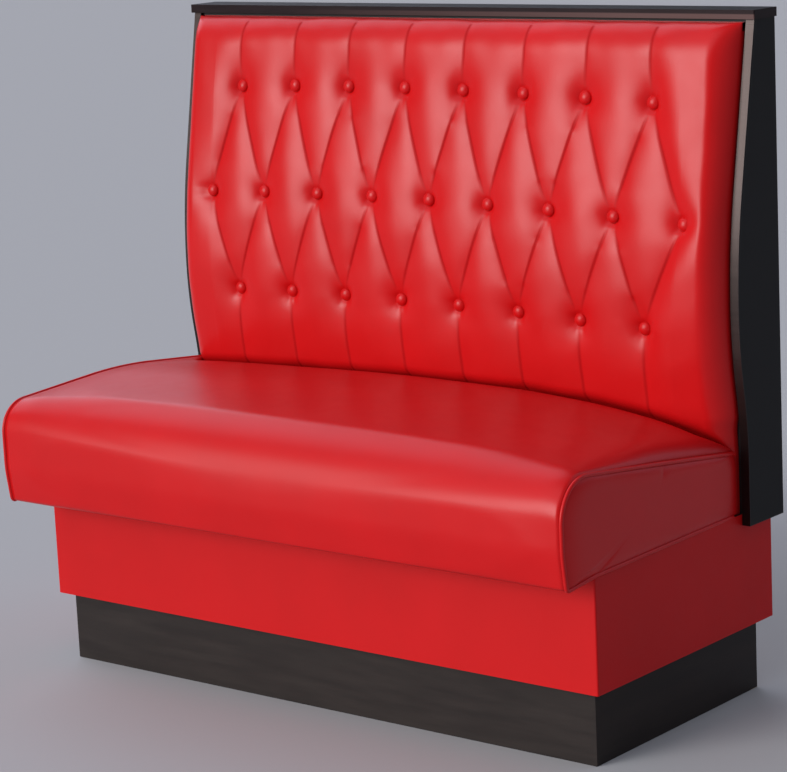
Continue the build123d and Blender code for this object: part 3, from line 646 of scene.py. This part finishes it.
def stretched(x, z):
    """Place on the stitched cover moved to where it was pulled by hand."""
    share = x / OUTER_X
    tables = (ROW_DROPS, ROW_SHIFTS, END_PULLS)
    drop, shift, end_pull = [float(np.interp(z, ROW_HEIGHTS, table)) for table in tables]
    rise = BOW_RISE - BOW_END_DROP * share * share - BOW_TILT * share - drop
    shift -= CENTRE_PULL * clamped((share - CENTRE_PULL_START) / CENTRE_PULL_RUN)
    shift += end_pull * clamped((share - END_PULL_START) / (1 - END_PULL_START)) ** END_PULL_POWER
    hold = clamped((z - PULL_LOW_Z) / PULL_LOW_FADE) * clamped((ROLL_START_Z - z) / PULL_TOP_FADE)
    hold *= clamped((PAD_END_X - abs(x)) / (PAD_END_X - OUTER_X))
    return x + shift * hold, z + rise * hold


def pad_axes():
    """Columns as (x, fall of the flank) and rows as (way up the cover, z, way back over the roll)."""
    inner = np.linspace(-OUTER_X, OUTER_X, 2 * TOP_ROW_COUNT * CREASE_STEPS + 1)
    margin = np.linspace(OUTER_X, FLANK_X, 3)[1:]
    turns = [math.sin(math.pi / 2 * (k + 1) / FLANK_STEPS) for k in range(FLANK_STEPS)]
    shares = [turn ** (1 / FLANK_CROWDING) for turn in turns]
    right = [(x, 0.0) for x in margin] + [(FLANK_X + FLANK_WIDTH * s, flank_fall(s)) for s in shares]
    columns = [(-x, fall) for x, fall in reversed(right)] + [(x, 0.0) for x in inner] + right
    low = np.linspace(BACK_BOTTOM_Z, LOW_ROW_Z, int((LOW_ROW_Z - BACK_BOTTOM_Z) / LOW_ROW_STEP) + 1)
    middle = np.linspace(LOW_ROW_Z, MIDDLE_ROW_Z, CREASE_STEPS + 1)[1:]
    upper = np.linspace(MIDDLE_ROW_Z, TOP_ROW_Z, CREASE_STEPS + 1)[1:]
    top = np.linspace(TOP_ROW_Z, ROLL_START_Z, int((ROLL_START_Z - TOP_ROW_Z) / LOW_ROW_STEP) + 1)[1:]
    rows = [(z, z, 0.0) for z in (*low, *middle, *upper, *top)]
    rolled = []
    crest, deep = ROLL_START_Z, 0.0
    for k in range(ROLL_STEPS):
        angle = math.pi / 2 * ((k + 0.5) / ROLL_STEPS) ** ROLL_BEND
        crest += ROLL_LENGTH / ROLL_STEPS * math.cos(angle)
        deep += ROLL_LENGTH / ROLL_STEPS * math.sin(angle)
        rolled.append((crest, deep))
    far = PAD_PROUD - PAD_EDGE_PROUD - deep
    for k in range(TUCK_STEPS):
        share = (k + 1) / TUCK_STEPS
        rolled.append((crest - TUCK_DROP * share ** TUCK_BEND, deep + far * share))
    for z, back in rolled:
        way, last_z, last_back = rows[-1]
        rows.append((way + math.hypot(z - last_z, back - last_back), z, back))
    return columns, rows


def creases_at(z):
    """Creases at a height as (x, depth)."""
    if z >= TOP_ROW_Z:
        return [(x, free_crease_depth(z - TOP_ROW_Z, TOP_CREASE_RUN)) for x in TOP_ROW_X]
    if z <= LOW_ROW_Z:
        return [(x, free_crease_depth(LOW_ROW_Z - z, LOW_CREASE_RUN)) for x in TOP_ROW_X]
    if z >= MIDDLE_ROW_Z:
        length = TOP_ROW_Z - MIDDLE_ROW_Z
        share = (TOP_ROW_Z - z) / length
    else:
        length = MIDDLE_ROW_Z - LOW_ROW_Z
        share = (z - LOW_ROW_Z) / length
    shift = share * BUTTON_PITCH / 2
    near = min(share, 1 - share) * length
    depth = CREASE_DEPTH + (TUFT_DEPTH - CREASE_DEPTH) * math.exp(-near / CREASE_FALL)
    return [(x + side * shift, depth) for x in TOP_ROW_X for side in (-1, 1)]


def free_crease_depth(distance, run):
    """Depth of a crease that runs from a button to the edge of the cover and dies out on the way."""
    free = FREE_CREASE_DEPTH * math.exp(-distance / run)
    return free + (TUFT_DEPTH - free) * math.exp(-distance / CREASE_FALL)


def fold_strength(z):
    """How sharply the creases fold at a height, from 0 at the buttons to 1 halfway between two rows."""
    run = min(abs(z - row_z) for row_z in (TOP_ROW_Z, MIDDLE_ROW_Z, LOW_ROW_Z))
    share = 1.0 if LOW_ROW_Z < z < TOP_ROW_Z else FREE_PLEAT_SHARE
    return share * (1 - math.exp(-(run / FOLD_FADE) ** 2))


def pulls(places):
    """How strongly each of a row of points is drawn to the one before and the one after."""
    before = np.diff(places, prepend=2 * places[0] - places[1])
    after = np.diff(places, append=2 * places[-1] - places[-2])
    return 2 / (before * (before + after)), 2 / (after * (before + after))


def foam_settled(depth, fixed, xs, zs):
    """Depth of the foam's skin where it is free: it dies away from what holds it down."""
    pull_left, pull_right = pulls(xs)
    pull_under, pull_over = [pull[:, None] for pull in pulls(zs)]
    total = pull_left + pull_right + pull_under + pull_over + 1 / FOAM_REACH ** 2
    odd = np.add.outer(np.arange(len(zs)), np.arange(len(xs))) % 2 == 1
    for turn in range(2 * SETTLE_ROUNDS):
        around = np.pad(depth, 1, mode="edge")
        pull = pull_left * around[1:-1, :-2] + pull_right * around[1:-1, 2:]
        pull = pull + pull_under * around[:-2, 1:-1] + pull_over * around[2:, 1:-1]
        moving = ~fixed & (odd == bool(turn % 2))
        depth = np.where(moving, depth + SETTLE_STEP * (pull / total - depth), depth)
    return depth


def creases_laid(xs, zs, chance):
    """Depth along the creases, each a little deeper or slacker than the next, and which points they hold."""
    depth = np.zeros((len(zs), len(xs)))
    creased = np.zeros(depth.shape, bool)
    slack = 1 + CREASE_SLACK * chance.standard_normal((3, 2 * TOP_ROW_COUNT))
    for i, z in enumerate(zs):
        zone = 0 if z >= TOP_ROW_Z else 1 if z >= MIDDLE_ROW_Z else 2
        for k, (x, value) in enumerate(creases_at(z)):
            j = int(np.argmin(abs(xs - x)))
            lie = value if value > TUFT_DEPTH / 2 else value * slack[zone, k]
            depth[i, j] = max(lie, depth[i, j])
            creased[i, j] = True
    return depth, creased


def blended(depth, reaches):
    """The depth with its creases softened where they run into a button's bowl."""
    soft, nearness = depth, np.zeros(depth.shape)
    for _ in range(BLEND_ROUNDS):
        around = np.pad(soft, 1, mode="edge")
        soft = (around[1:-1, :-2] + around[1:-1, 2:] + around[:-2, 1:-1] + around[2:, 1:-1]) / 4
    for reach in reaches:
        close = np.exp(-(reach / BLEND_RADIUS) ** 2) - np.exp(-(reach / PIT_FALL) ** 2)
        nearness = np.maximum(nearness, close)
    return depth + (soft - depth) * nearness


def waves_crossed(xs, zs, waves):
    """Two waves laid over each other."""
    first, second = [np.sin(along * xs + up * zs[:, None] + start) for along, up, start in waves]
    return first * second


def tufting(columns, rows):
    """Depth field of the tufted back, and which points lie in a crease."""
    xs, zs = np.array([c[0] for c in columns]), np.array([r[0] for r in rows])
    chance = np.random.default_rng(11)
    depth, creased = creases_laid(xs, zs, chance)
    fixed = creased.copy()
    fixed[:, :2] = True
    fixed[:, -2:] = True
    fixed[-1:, :] = True
    ends = (abs(xs) > OUTER_X) & (abs(xs) < OUTER_X + END_TUCK_LENGTH)
    middle = int(np.argmin(abs(zs - MIDDLE_ROW_Z)))
    depth[middle, ends] = END_TUCK_DEPTH * np.exp(-(abs(xs[ends]) - OUTER_X) / END_TUCK_FALL) + END_TUCK_LEAST
    fixed[middle, ends] = True
    reaches = [np.hypot(xs - x, (zs - z)[:, None]) for x, z in button_places()]
    for reach in reaches:
        bowl = TUFT_DEPTH * np.exp(-(np.maximum(reach - PIT_RADIUS, 0) / PIT_FALL) ** PIT_POWER)
        near = reach < BOWL_RADIUS
        depth[near] = np.maximum(bowl, depth)[near]
        fixed |= near
    depth = foam_settled(depth, fixed, xs, zs)
    for i, z in enumerate(zs):
        last = max(x for x, _ in creases_at(z))
        depth[i] *= np.exp(-(np.maximum(xs - last, 0) / RIGHT_END_REACH) ** 2)
    depth = blended(depth, reaches)
    for (x, z), reach in zip(button_places(), reaches):
        angle = np.arctan2((zs - z)[:, None], xs - x)
        folds = np.cos((PUCKER_FOLDS + chance.integers(0, 3)) * angle + chance.uniform(0, 6.28))
        depth = depth + PUCKER_HEIGHT * folds * np.exp(-((reach - PUCKER_RADIUS) / PUCKER_FALL) ** 2)
    uneven = SLOW_RISE * waves_crossed(xs, zs, SLOW_WAVES) + QUICK_RISE * waves_crossed(xs, zs, QUICK_WAVES)
    return depth + uneven * np.minimum(1, (PAD_END_X - abs(xs)) / FLANK_WIDTH), creased


def pad_base(columns, rows):
    """Untufted front of the back cushion: proud of the side panels, rolled over at the ends and the top."""
    base = np.zeros((len(rows), len(columns), 3))
    shares = [min(max(x / SEAM_REAR_X, -1), 1) for x, _ in columns]
    seat = [smooth_table(STATION_SHARES, TAIL_HEIGHTS, share) * MM for share in shares]
    for i, (_, z, back) in enumerate(rows):
        for j, (x, fall) in enumerate(columns):
            place_x, place_z = stretched(x, z)
            rounded = END_ROUNDING * max(1 - (PAD_END_X - abs(x)) / END_ROUNDING_WIDTH, 0) ** 2
            proud = pad_proud_at(place_z) - PAD_EDGE_PROUD - groove_at(place_z, seat[j]) - rounded
            narrowed = seat_side_gap_at(place_z) * clamped((abs(x) - OUTER_X) / (FLANK_X - OUTER_X))
            front = proud * (1 - fall) * (1 - back / (PAD_PROUD - PAD_EDGE_PROUD))
            y = back_line_y(place_z) - PAD_EDGE_PROUD - front
            base[i, j] = (place_x - math.copysign(narrowed, x), y, place_z)
    return base


def outward(surface):
    """Directions square to a grid of points whose columns run along X and whose rows run up."""
    normal = np.cross(np.gradient(surface, axis=1), np.gradient(surface, axis=0))
    return normal / np.linalg.norm(normal, axis=2, keepdims=True)


def grid_faces(height, width, creased=None):
    """Quads of a grid, cut along a crease where it crosses them."""
    faces = []
    for i in range(height - 1):
        for j in range(width - 1):
            a = i * width + j
            b, c, d = a + 1, a + width + 1, a + width
            if creased is not None and creased[i, j] and creased[i + 1, j + 1]:
                faces += [(a, b, c), (a, c, d)]
            elif creased is not None and creased[i, j + 1] and creased[i + 1, j]:
                faces += [(a, b, d), (b, c, d)]
            else:
                faces.append((a, b, c, d))
    return faces


def pad_filled(surface, creased):
    """The pad after its pillows are blown up between the creases, worked out on every fourth column."""
    picked = np.arange(0, surface.shape[1], CLOTH_COLUMN_STEP)
    coarse = surface[:, picked]
    height, width = coarse.shape[:2]
    near = creased.copy()
    near[:, 1:] |= creased[:, :-1]
    near[:, :-1] |= creased[:, 1:]
    held = near[:, picked]
    held[:, (0, -1)] = True
    held[(0, -1), :] = True
    points = coarse.reshape(-1, 3)
    moved = puffed(points, grid_faces(height, width), held.reshape(-1), PAD_FILLING)
    rise = np.sum((moved - points).reshape(coarse.shape) * outward(coarse), axis=2)
    spread_rise = np.array([np.interp(np.arange(surface.shape[1]), picked, row) for row in rise])
    return surface + outward(surface) * spread_rise[:, :, None]


def rim_of(height, width):
    """Outline of a grid of points: along the bottom, up the right, back along the top, down the left."""
    bottom = list(range(width))
    right = [i * width + width - 1 for i in range(1, height)]
    top = [(height - 1) * width + j for j in range(width - 2, -1, -1)]
    left = [i * width for i in range(height - 2, 0, -1)]
    return bottom + right + top + left


def rear_faces(rim, start, height, width):
    """Edges and flat rear of a pad: from the rim of its front to the same rim on the board behind."""
    count = len(rim)
    faces = []
    for k in range(count):
        n = (k + 1) % count
        faces.append((rim[k], start + k, start + n, rim[n]))
    place = {corner: start + k for k, corner in enumerate(rim)}
    for i in range(height - 1):
        a, b = place[i * width], place[(i + 1) * width]
        c, d = place[(i + 1) * width + width - 1], place[i * width + width - 1]
        face = [a, b, c, d]
        if i == 0:
            face = [a, b, c] + [place[j] for j in range(width - 1, 0, -1)]
        if i == height - 2:
            face = [a] + [place[(height - 1) * width + j] for j in range(width)] + [d]
        faces.append(tuple(face))
    return faces


def back_cushion():
    """The tufted back as a closed pad: pillows and creases in front, flat on its board behind."""
    columns, rows = pad_axes()
    depth, creased = tufting(columns, rows)
    height, width = depth.shape
    sewn = creased * np.array([[fold_strength(way) * (back < CREASE_END_BACK)] for way, _, back in rows])
    base = pad_base(columns, rows)
    surface = pad_filled(base - outward(base) * depth[:, :, None], creased)
    surface = surface - outward(surface) * (PLEAT_DEPTH * sewn)[:, :, None]
    # Painted shade along the creases, spread a little to each side
    shade = sewn
    for reach, share in CREASE_SHADES:
        shade = np.maximum(shade, share * np.maximum(np.roll(sewn, reach, 1), np.roll(sewn, -reach, 1)))
    points = surface.reshape(-1, 3)
    rim = rim_of(height, width)
    behind = points[rim]
    behind[:, 1] = [back_line_y(z) + BOARD_SETBACK for z in behind[:, 2]]
    front = grid_faces(height, width, creased)
    faces = front + rear_faces(rim, len(points), height, width)
    flat = range(len(front), len(faces))
    piece = make_piece("tufted_back", np.concatenate([points, behind]), faces, back_vinyl, flat)
    # The crease attribute carries this painted shade to the material
    mark = piece.data.attributes.new("crease", "FLOAT", "POINT")
    mark.data.foreach_set("value", np.concatenate([shade.reshape(-1), np.zeros(len(rim))]))
    return piece


# Node trees for what repeats or follows a path


def size_inputs(tree, sizes):
    """Gives a node tree its geometry sockets and its named sizes, and returns its two end nodes."""
    face = tree.interface
    face.new_socket("Geometry", in_out="INPUT", socket_type="NodeSocketGeometry")
    for name, (kind, _) in sizes.items():
        face.new_socket(name, in_out="INPUT", socket_type=kind)
    face.new_socket("Geometry", in_out="OUTPUT", socket_type="NodeSocketGeometry")
    return tree.nodes.new("NodeGroupInput"), tree.nodes.new("NodeGroupOutput")


def run_tree(piece, tree, sizes):
    """Puts the piece through a node tree and keeps the result as a plain mesh."""
    modifier = piece.modifiers.new(tree.name, "NODES")
    modifier.node_group = tree
    for item in tree.interface.items_tree:
        if item.name in sizes:
            modifier[item.identifier] = sizes[item.name][1]
    return finished(piece)


def wired(tree, kind, links=(), **values):
    """A node with some inputs set and others linked; both are named by the input's label or number."""
    node = tree.nodes.new(kind)
    for name, value in values.items():
        setattr(node, name, value)
    for key, source in links:
        if hasattr(source, "is_output"):
            tree.links.new(source, node.inputs[key])
        else:
            node.inputs[key].default_value = source
    return node


def finish_tree(tree, geometry, material, group_out):
    """Ends a tree: real mesh, smooth shading, its material."""
    real = wired(tree, "GeometryNodeRealizeInstances", [("Geometry", geometry)])
    smooth = wired(tree, "GeometryNodeSetShadeSmooth", [("Geometry", real.outputs["Geometry"])])
    painted = wired(tree, "GeometryNodeSetMaterial", [
        ("Geometry", smooth.outputs["Geometry"]), ("Material", material),
    ])
    tree.links.new(painted.outputs["Geometry"], group_out.inputs["Geometry"])


def back_buttons():
    """Covered buttons: one dome set on every point, square to the back and a little askew."""
    sizes = {
        "Button Radius": ("NodeSocketFloat", BUTTON_RADIUS),
        "Dome Height": ("NodeSocketFloat", BUTTON_DOME),
        "Askew Angle": ("NodeSocketFloat", BUTTON_ASKEW),
        "Seed": ("NodeSocketInt", BUTTON_SEED),
    }
    tree = bpy.data.node_groups.new("covered_buttons", "GeometryNodeTree")
    group_in, group_out = size_inputs(tree, sizes)
    given = group_in.outputs
    ball = wired(tree, "GeometryNodeMeshUVSphere", [("Segments", 28), ("Rings", 14), ("Radius", 1.0)])
    size = wired(tree, "ShaderNodeCombineXYZ", [
        ("X", given["Button Radius"]), ("Y", given["Button Radius"]), ("Z", given["Dome Height"]),
    ])
    flat = wired(tree, "GeometryNodeTransform", [
        ("Geometry", ball.outputs["Mesh"]), ("Scale", size.outputs["Vector"]),
    ])
    dome = wired(tree, "GeometryNodeTransform", [
        ("Geometry", flat.outputs["Geometry"]), ("Rotation", (math.pi / 2, 0, 0)),
    ])
    least = wired(tree, "ShaderNodeVectorMath", [
        (0, given["Askew Angle"]), (1, (-1, -1, -1)),
    ], operation="MULTIPLY")
    askew = wired(tree, "FunctionNodeRandomValue", [
        (0, least.outputs["Vector"]), (1, given["Askew Angle"]), ("Seed", given["Seed"]),
    ], data_type="FLOAT_VECTOR")
    lean = wired(tree, "GeometryNodeInputNamedAttribute", [("Name", "lean")], data_type="FLOAT")
    upright = wired(tree, "ShaderNodeCombineXYZ", [("X", lean.outputs["Attribute"])])
    turn = wired(tree, "ShaderNodeVectorMath", [
        (0, upright.outputs["Vector"]), (1, askew.outputs["Value"]),
    ], operation="ADD")
    placed = wired(tree, "GeometryNodeInstanceOnPoints", [
        ("Points", given["Geometry"]), ("Instance", dome.outputs["Geometry"]),
        ("Rotation", turn.outputs["Vector"]),
    ])
    finish_tree(tree, placed.outputs["Instances"], back_vinyl, group_out)
    points, leans = [], []
    for x, z in button_places():
        x, z = stretched(x, z)
        slope = (back_line_y(z + SLOPE_REACH) - back_line_y(z - SLOPE_REACH)) / (2 * SLOPE_REACH)
        points.append((x, back_line_y(z) - PAD_PROUD + TUFT_DEPTH - BUTTON_LIFT, z))
        leans.append(-math.atan(slope))
    piece = make_piece("back_buttons", points, [], back_vinyl)
    mark = piece.data.attributes.new("lean", "FLOAT", "POINT")
    mark.data.foreach_set("value", leans)
    return run_tree(piece, tree, sizes)


# Seat cushion

# Heights of the seat's top from the left end to the right one, as corners before they are rounded:
# over the front, across the middle and at the back; the left end stands fuller
STATION_SHARES = (-1.0, -0.9, -0.55, 0.0, 0.3, 0.55, 0.8, 0.9, 0.95, 0.975, 1.0)
NOSE_HEIGHTS = (456, 464, 471, 473, 473, 471, 467, 464.5, 463, 461.5, 459)
MIDDLE_HEIGHTS = (474, 476, 478, 479, 477, 472, 461, 455, 449, 441, 425)
TAIL_HEIGHTS = (453, 458, 465.5, 473, 472, 465, 448.5, 436, 427, 417, 396)
SEAM_REAR_Y = PANEL_LOW_Y - SEAT_REAR_GAP
SEAT_FLANK_Y = PANEL_LOW_Y - PAD_EDGE_PROUD - SEAT_REAR_GAP
SEAT_FLANK_X = PAD_END_X - SEAT_SIDE_GAP
SEAT_TAIL_Y = back_line_y(TAIL_HEIGHTS[3] * MM) - pad_proud_at(TAIL_HEIGHTS[3] * MM) - SEAT_REAR_GAP
SEAM_SLOPE = (SEAM_FRONT_X - SEAM_REAR_X) / (PANEL_LOW_Y - SEAT_FRONT_Y)
TAIL_RADIUS = 20 * MM
TOE_BACK = 8 * MM
TOE_DROP = 6 * MM
TOE_RADIUS = 7 * MM
FOOT_BACK = 6 * MM
FOOT_RADIUS = 20 * MM
REAR_RADIUS = 3 * MM
BELLY_HEIGHT = 50 * MM
BELLY_RADIUS = 200 * MM
TOP_RADIUS = 900 * MM
NOSE_SHARES = (-1.0, 0.0, 1.0)
NOSE_RADII = (50, 72, 60)
END_SHARE = 1 - PIPING_RADIUS / SEAM_FRONT_X


def smooth_table(shares, values, at):
    """Smooth curve through a table, without overshoot."""
    x, y = np.array(shares), np.array(values)
    h = np.diff(x)
    d = np.diff(y) / h
    m = np.zeros(len(x))
    for k in range(1, len(x) - 1):
        if d[k - 1] * d[k] > 0:
            w1, w2 = 2 * h[k] + h[k - 1], h[k] + 2 * h[k - 1]
            m[k] = (w1 + w2) / (w1 / d[k - 1] + w2 / d[k])
    m[0], m[-1] = d[0], d[-1]
    k = int(min(max(np.searchsorted(x, at) - 1, 0), len(h) - 1))
    t = (at - x[k]) / h[k]
    start = (2 * t ** 3 - 3 * t ** 2 + 1) * y[k] + (t ** 3 - 2 * t ** 2 + t) * h[k] * m[k]
    return start + (3 * t ** 2 - 2 * t ** 3) * y[k + 1] + (t ** 3 - t ** 2) * h[k] * m[k + 1]


def rounded_outline(corners):
    """Closed outline of (point, radius, steps round the corner, steps to the next corner)."""
    points = [np.array(corner[0], float) for corner in corners]
    count = len(points)
    arcs = []
    for k, (_, radius, arc_steps, _) in enumerate(corners):
        here = points[k]
        before, after = points[k - 1] - here, points[(k + 1) % count] - here
        u, v = before / np.linalg.norm(before), after / np.linalg.norm(after)
        half = math.acos(max(-1, min(1, float(u @ v)))) / 2
        centre = here + (u + v) / np.linalg.norm(u + v) * radius / math.sin(half)
        a, b = here + u * radius / math.tan(half), here + v * radius / math.tan(half)
        first = math.atan2(*(a - centre)[::-1])
        turn = (math.atan2(*(b - centre)[::-1]) - first + math.pi) % (2 * math.pi) - math.pi
        angles = [first + turn * step / arc_steps for step in range(arc_steps + 1)]
        arcs.append([centre + radius * np.array((math.cos(t), math.sin(t))) for t in angles])
    outline = []
    for k, corner in enumerate(corners):
        outline += arcs[k]
        end, start = arcs[k][-1], arcs[(k + 1) % count][0]
        outline += [end + (start - end) * step / corner[3] for step in range(1, corner[3])]
    return np.array(outline)


def seat_tail_y(x):
    """Rear of the seat in plan: flat in the middle, wrapped round the back cushion's flanks."""
    past_flank = abs(x) - SEAT_FLANK_X
    wrapped = SEAT_TAIL_Y + (SEAT_FLANK_Y - SEAT_TAIL_Y) * flank_fall(1 + past_flank / FLANK_WIDTH)
    return wrapped + (SEAM_REAR_Y - SEAT_FLANK_Y) * clamped(past_flank / SEAT_SIDE_GAP)


def seat_section(share, inset=0.0):
    """Outline of the seat at a station as points in the Y-Z plane, from the rear bottom corner forward."""
    nose_z, middle_z, tail_z = [
        smooth_table(STATION_SHARES, heights, share) * MM - inset
        for heights in (NOSE_HEIGHTS, MIDDLE_HEIGHTS, TAIL_HEIGHTS)
    ]
    fullness = SEAT_FRONT_CROWN * (1 - share * share) + LEFT_FULLNESS * (1 - share) ** 2 / 4
    front_y = SEAT_FRONT_Y + inset - fullness
    tail_y = seat_tail_y(abs(share) * (SEAM_REAR_X + PIPING_RADIUS)) - inset
    low_z = BOX_TOP_Z + inset
    nose_radius = smooth_table(NOSE_SHARES, NOSE_RADII, share) * MM
    return rounded_outline([
        ((tail_y, low_z), REAR_RADIUS, 2, 26),
        ((BOX_FRONT_Y - FOOT_BACK, low_z), FOOT_RADIUS, 3, 10),
        ((front_y + TOE_BACK, low_z - TOE_DROP), TOE_RADIUS, 6, 6),
        ((front_y, BOX_TOP_Z + BELLY_HEIGHT), BELLY_RADIUS, 8, 5),
        ((front_y, nose_z), nose_radius, 20, 18),
        ((SEAT_MIDDLE_Y, middle_z), TOP_RADIUS, 16, 8),
        ((tail_y, tail_z), TAIL_RADIUS, 7, 14),
    ])


def seat_plane_x(share, y):
    return share * (SEAM_FRONT_X - SEAM_SLOPE * (y - SEAT_FRONT_Y))


def ring_faces(rings, around, flipped=False):
    """Quads between closed rings of points."""
    faces = []
    for i in range(rings - 1):
        for j in range(around):
            n = (j + 1) % around
            a, b = i * around, (i + 1) * around
            face = (a + j, b + j, b + n, a + n)
            faces.append(face[::-1] if flipped else face)
    return faces


def seat_band():
    """Front, top, rear and bottom of the seat as one closed band between the two seams."""
    even = np.linspace(-1, 1, SEAT_STATIONS)
    shares = END_SHARE * (STATION_CROWDING * np.sin(math.pi / 2 * even) + (1 - STATION_CROWDING) * even)
    rings = [[(seat_plane_x(s, y), y, z) for y, z in seat_section(s)] for s in shares]
    stations, around = len(rings), len(rings[0])
    points = np.array(rings).reshape(-1, 3)
    faces = ring_faces(stations, around)
    held = (points[:, 2] < BOX_TOP_Z + HELD_HEIGHT) & (points[:, 1] > BOX_FRONT_Y - HELD_FRONT)
    held |= points[:, 1] > SEAT_TAIL_Y - HELD_REAR
    held[:around] = True
    held[-around:] = True
    points = puffed(points, faces, held, SEAT_FILLING)
    flat = (len(faces), len(faces) + 1)
    faces += [tuple(range(around)), tuple(range(len(points) - 1, len(points) - 1 - around, -1))]
    return make_piece("seat_cushion", points, faces, seat_vinyl, flat)


def seat_end(side, name):
    """Domed end panel inside the piping."""
    rim = seat_section(side, END_INSET)
    centre = (rim.max(axis=0) + rim.min(axis=0)) / 2
    rings = []
    for share in END_RING_SHARES:
        out = END_DOME * math.sqrt(1 - share ** END_DOME_POWER) - END_SINK
        rings.append([(seat_plane_x(side, y) + side * out, y, z) for y, z in centre + (rim - centre) * share])
    around = len(rim)
    points = np.array(rings).reshape(-1, 3)
    points = np.vstack([points, points[-around:].mean(axis=0)])
    faces = ring_faces(len(rings), around, side < 0)
    last = (len(rings) - 1) * around
    for j in range(around):
        face = (last + j, len(points) - 1, last + (j + 1) % around)
        faces.append(face if side > 0 else face[::-1])
    held = np.zeros(len(points), bool)
    held[:around] = True
    points = puffed(points, faces, held, END_FILLING)
    flat = (len(faces),)
    rear = tuple(range(around))
    faces.append(rear if side > 0 else rear[::-1])
    return make_piece(name, points, faces, seat_vinyl, flat)


def seat_piping(side, name):
    """Piping round the bottom, the front and the top of an end: a cord swept along the seam."""
    sizes = {
        "Cord Radius": ("NodeSocketFloat", PIPING_RADIUS),
        "Cord Sides": ("NodeSocketInt", PIPING_SIDES),
    }
    tree = bpy.data.node_groups.new(name + "_cord", "GeometryNodeTree")
    group_in, group_out = size_inputs(tree, sizes)
    given = group_in.outputs
    line = wired(tree, "GeometryNodeMeshToCurve", [("Mesh", given["Geometry"])])
    cut = wired(tree, "GeometryNodeCurvePrimitiveCircle", [
        ("Resolution", given["Cord Sides"]), ("Radius", given["Cord Radius"]),
    ])
    cord = wired(tree, "GeometryNodeCurveToMesh", [
        ("Curve", line.outputs["Curve"]), ("Profile Curve", cut.outputs["Curve"]), ("Fill Caps", True),
    ])
    finish_tree(tree, cord.outputs["Mesh"], seat_vinyl, group_out)
    section = seat_section(side, PIPING_INSET)
    path = [(seat_plane_x(side, y), y, z) for y, z in section if y < SEAM_REAR_Y - PIPING_REAR_GAP]
    mesh = bpy.data.meshes.new(name)
    mesh.from_pydata(path, [(k, k + 1) for k in range(len(path) - 1)], [])
    return run_tree(in_scene(name, mesh), tree, sizes)


# Stage, light and camera


def stage():
    """Pale floor that takes the shadow."""
    mesh = bpy.data.meshes.new("floor")
    corners = [(x * FLOOR_HALF, y * FLOOR_HALF, 0) for x, y in ((-1, -1), (1, -1), (1, 1), (-1, 1))]
    mesh.from_pydata(corners, [], [(0, 1, 2, 3)])
    material, tree, shader = blank_material("floor_paint")
    shader.inputs["Base Color"].default_value = (0.46, 0.46, 0.46, 1)
    shader.inputs["Roughness"].default_value = 0.9
    shader.inputs["Specular IOR Level"].default_value = 0.1
    mesh.materials.append(material)
    in_scene("floor", mesh)


def world_light():
    """Plain soft light all round."""
    world = bpy.data.worlds.new("studio")
    bpy.context.scene.world = world
    world.use_nodes = True
    background = world.node_tree.nodes["Background"]
    background.inputs["Color"].default_value = (0.86, 0.88, 0.92, 1)
    background.inputs["Strength"].default_value = WORLD_STRENGTH


def direction(azimuth, elevation):
    """From the booth towards a light or the camera; both angles are in degrees."""
    a, e = math.radians(azimuth), math.radians(elevation)
    return Vector((math.sin(a) * math.cos(e), -math.cos(a) * math.cos(e), math.sin(e)))


def soft_sun(name, azimuth, elevation, width, strength, colour):
    """Wide, even light from an angle round the booth."""
    away = direction(azimuth, elevation)
    data = bpy.data.lights.new(name, "SUN")
    data.angle = math.radians(width)
    data.energy = strength
    data.color = colour
    lamp = in_scene(name, data)
    lamp.location = away * 4
    lamp.rotation_euler = (-away).to_track_quat("-Z", "Y").to_euler()


def camera():
    """The photograph's view: a long lens from the front right, a little above the seat."""
    roll = math.radians(CAMERA_ROLL)
    back = direction(CAMERA_AZIMUTH, CAMERA_ELEVATION)
    right = Vector((0, 0, 1)).cross(back).normalized()
    up = back.cross(right)
    x_axis = math.cos(roll) * right + math.sin(roll) * up
    y_axis = -math.sin(roll) * right + math.cos(roll) * up
    data = bpy.data.cameras.new("camera")
    data.lens = CAMERA_LENS
    data.shift_x, data.shift_y = CAMERA_SHIFT
    data.clip_end = 200
    view = in_scene("camera", data)
    turn = Matrix((x_axis, y_axis, back)).transposed()
    view.matrix_world = Matrix.Translation(CAMERA_PLACE) @ turn.to_4x4()
    bpy.context.scene.camera = view


dress_cad_nodes()

back = back_cushion()
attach(back, "booth_frame")
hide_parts("tufted_back_cover", "back_foam")

buttons = back_buttons()
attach(buttons, "booth_frame")
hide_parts("buttons_top_row", "buttons_middle_row", "buttons_low_row")

band = seat_band()
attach(band, "seat_cushion")
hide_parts("seat_cover", "seat_foam")

for side, name in ((-1, "left"), (1, "right")):
    end = seat_end(side, f"seat_end_{name}")
    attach(end, "seat_cushion")
    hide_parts(f"seat_side_panel_{name}")
    piping = seat_piping(side, f"seat_piping_edge_{name}")
    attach(piping, "seat_cushion")
    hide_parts(f"seat_piping_{name}")

stage()
world_light()
for sun in SUNS:
    soft_sun(*sun)
camera()

bpy.context.scene.view_settings.view_transform = "Standard"
bpy.context.view_layer.update()
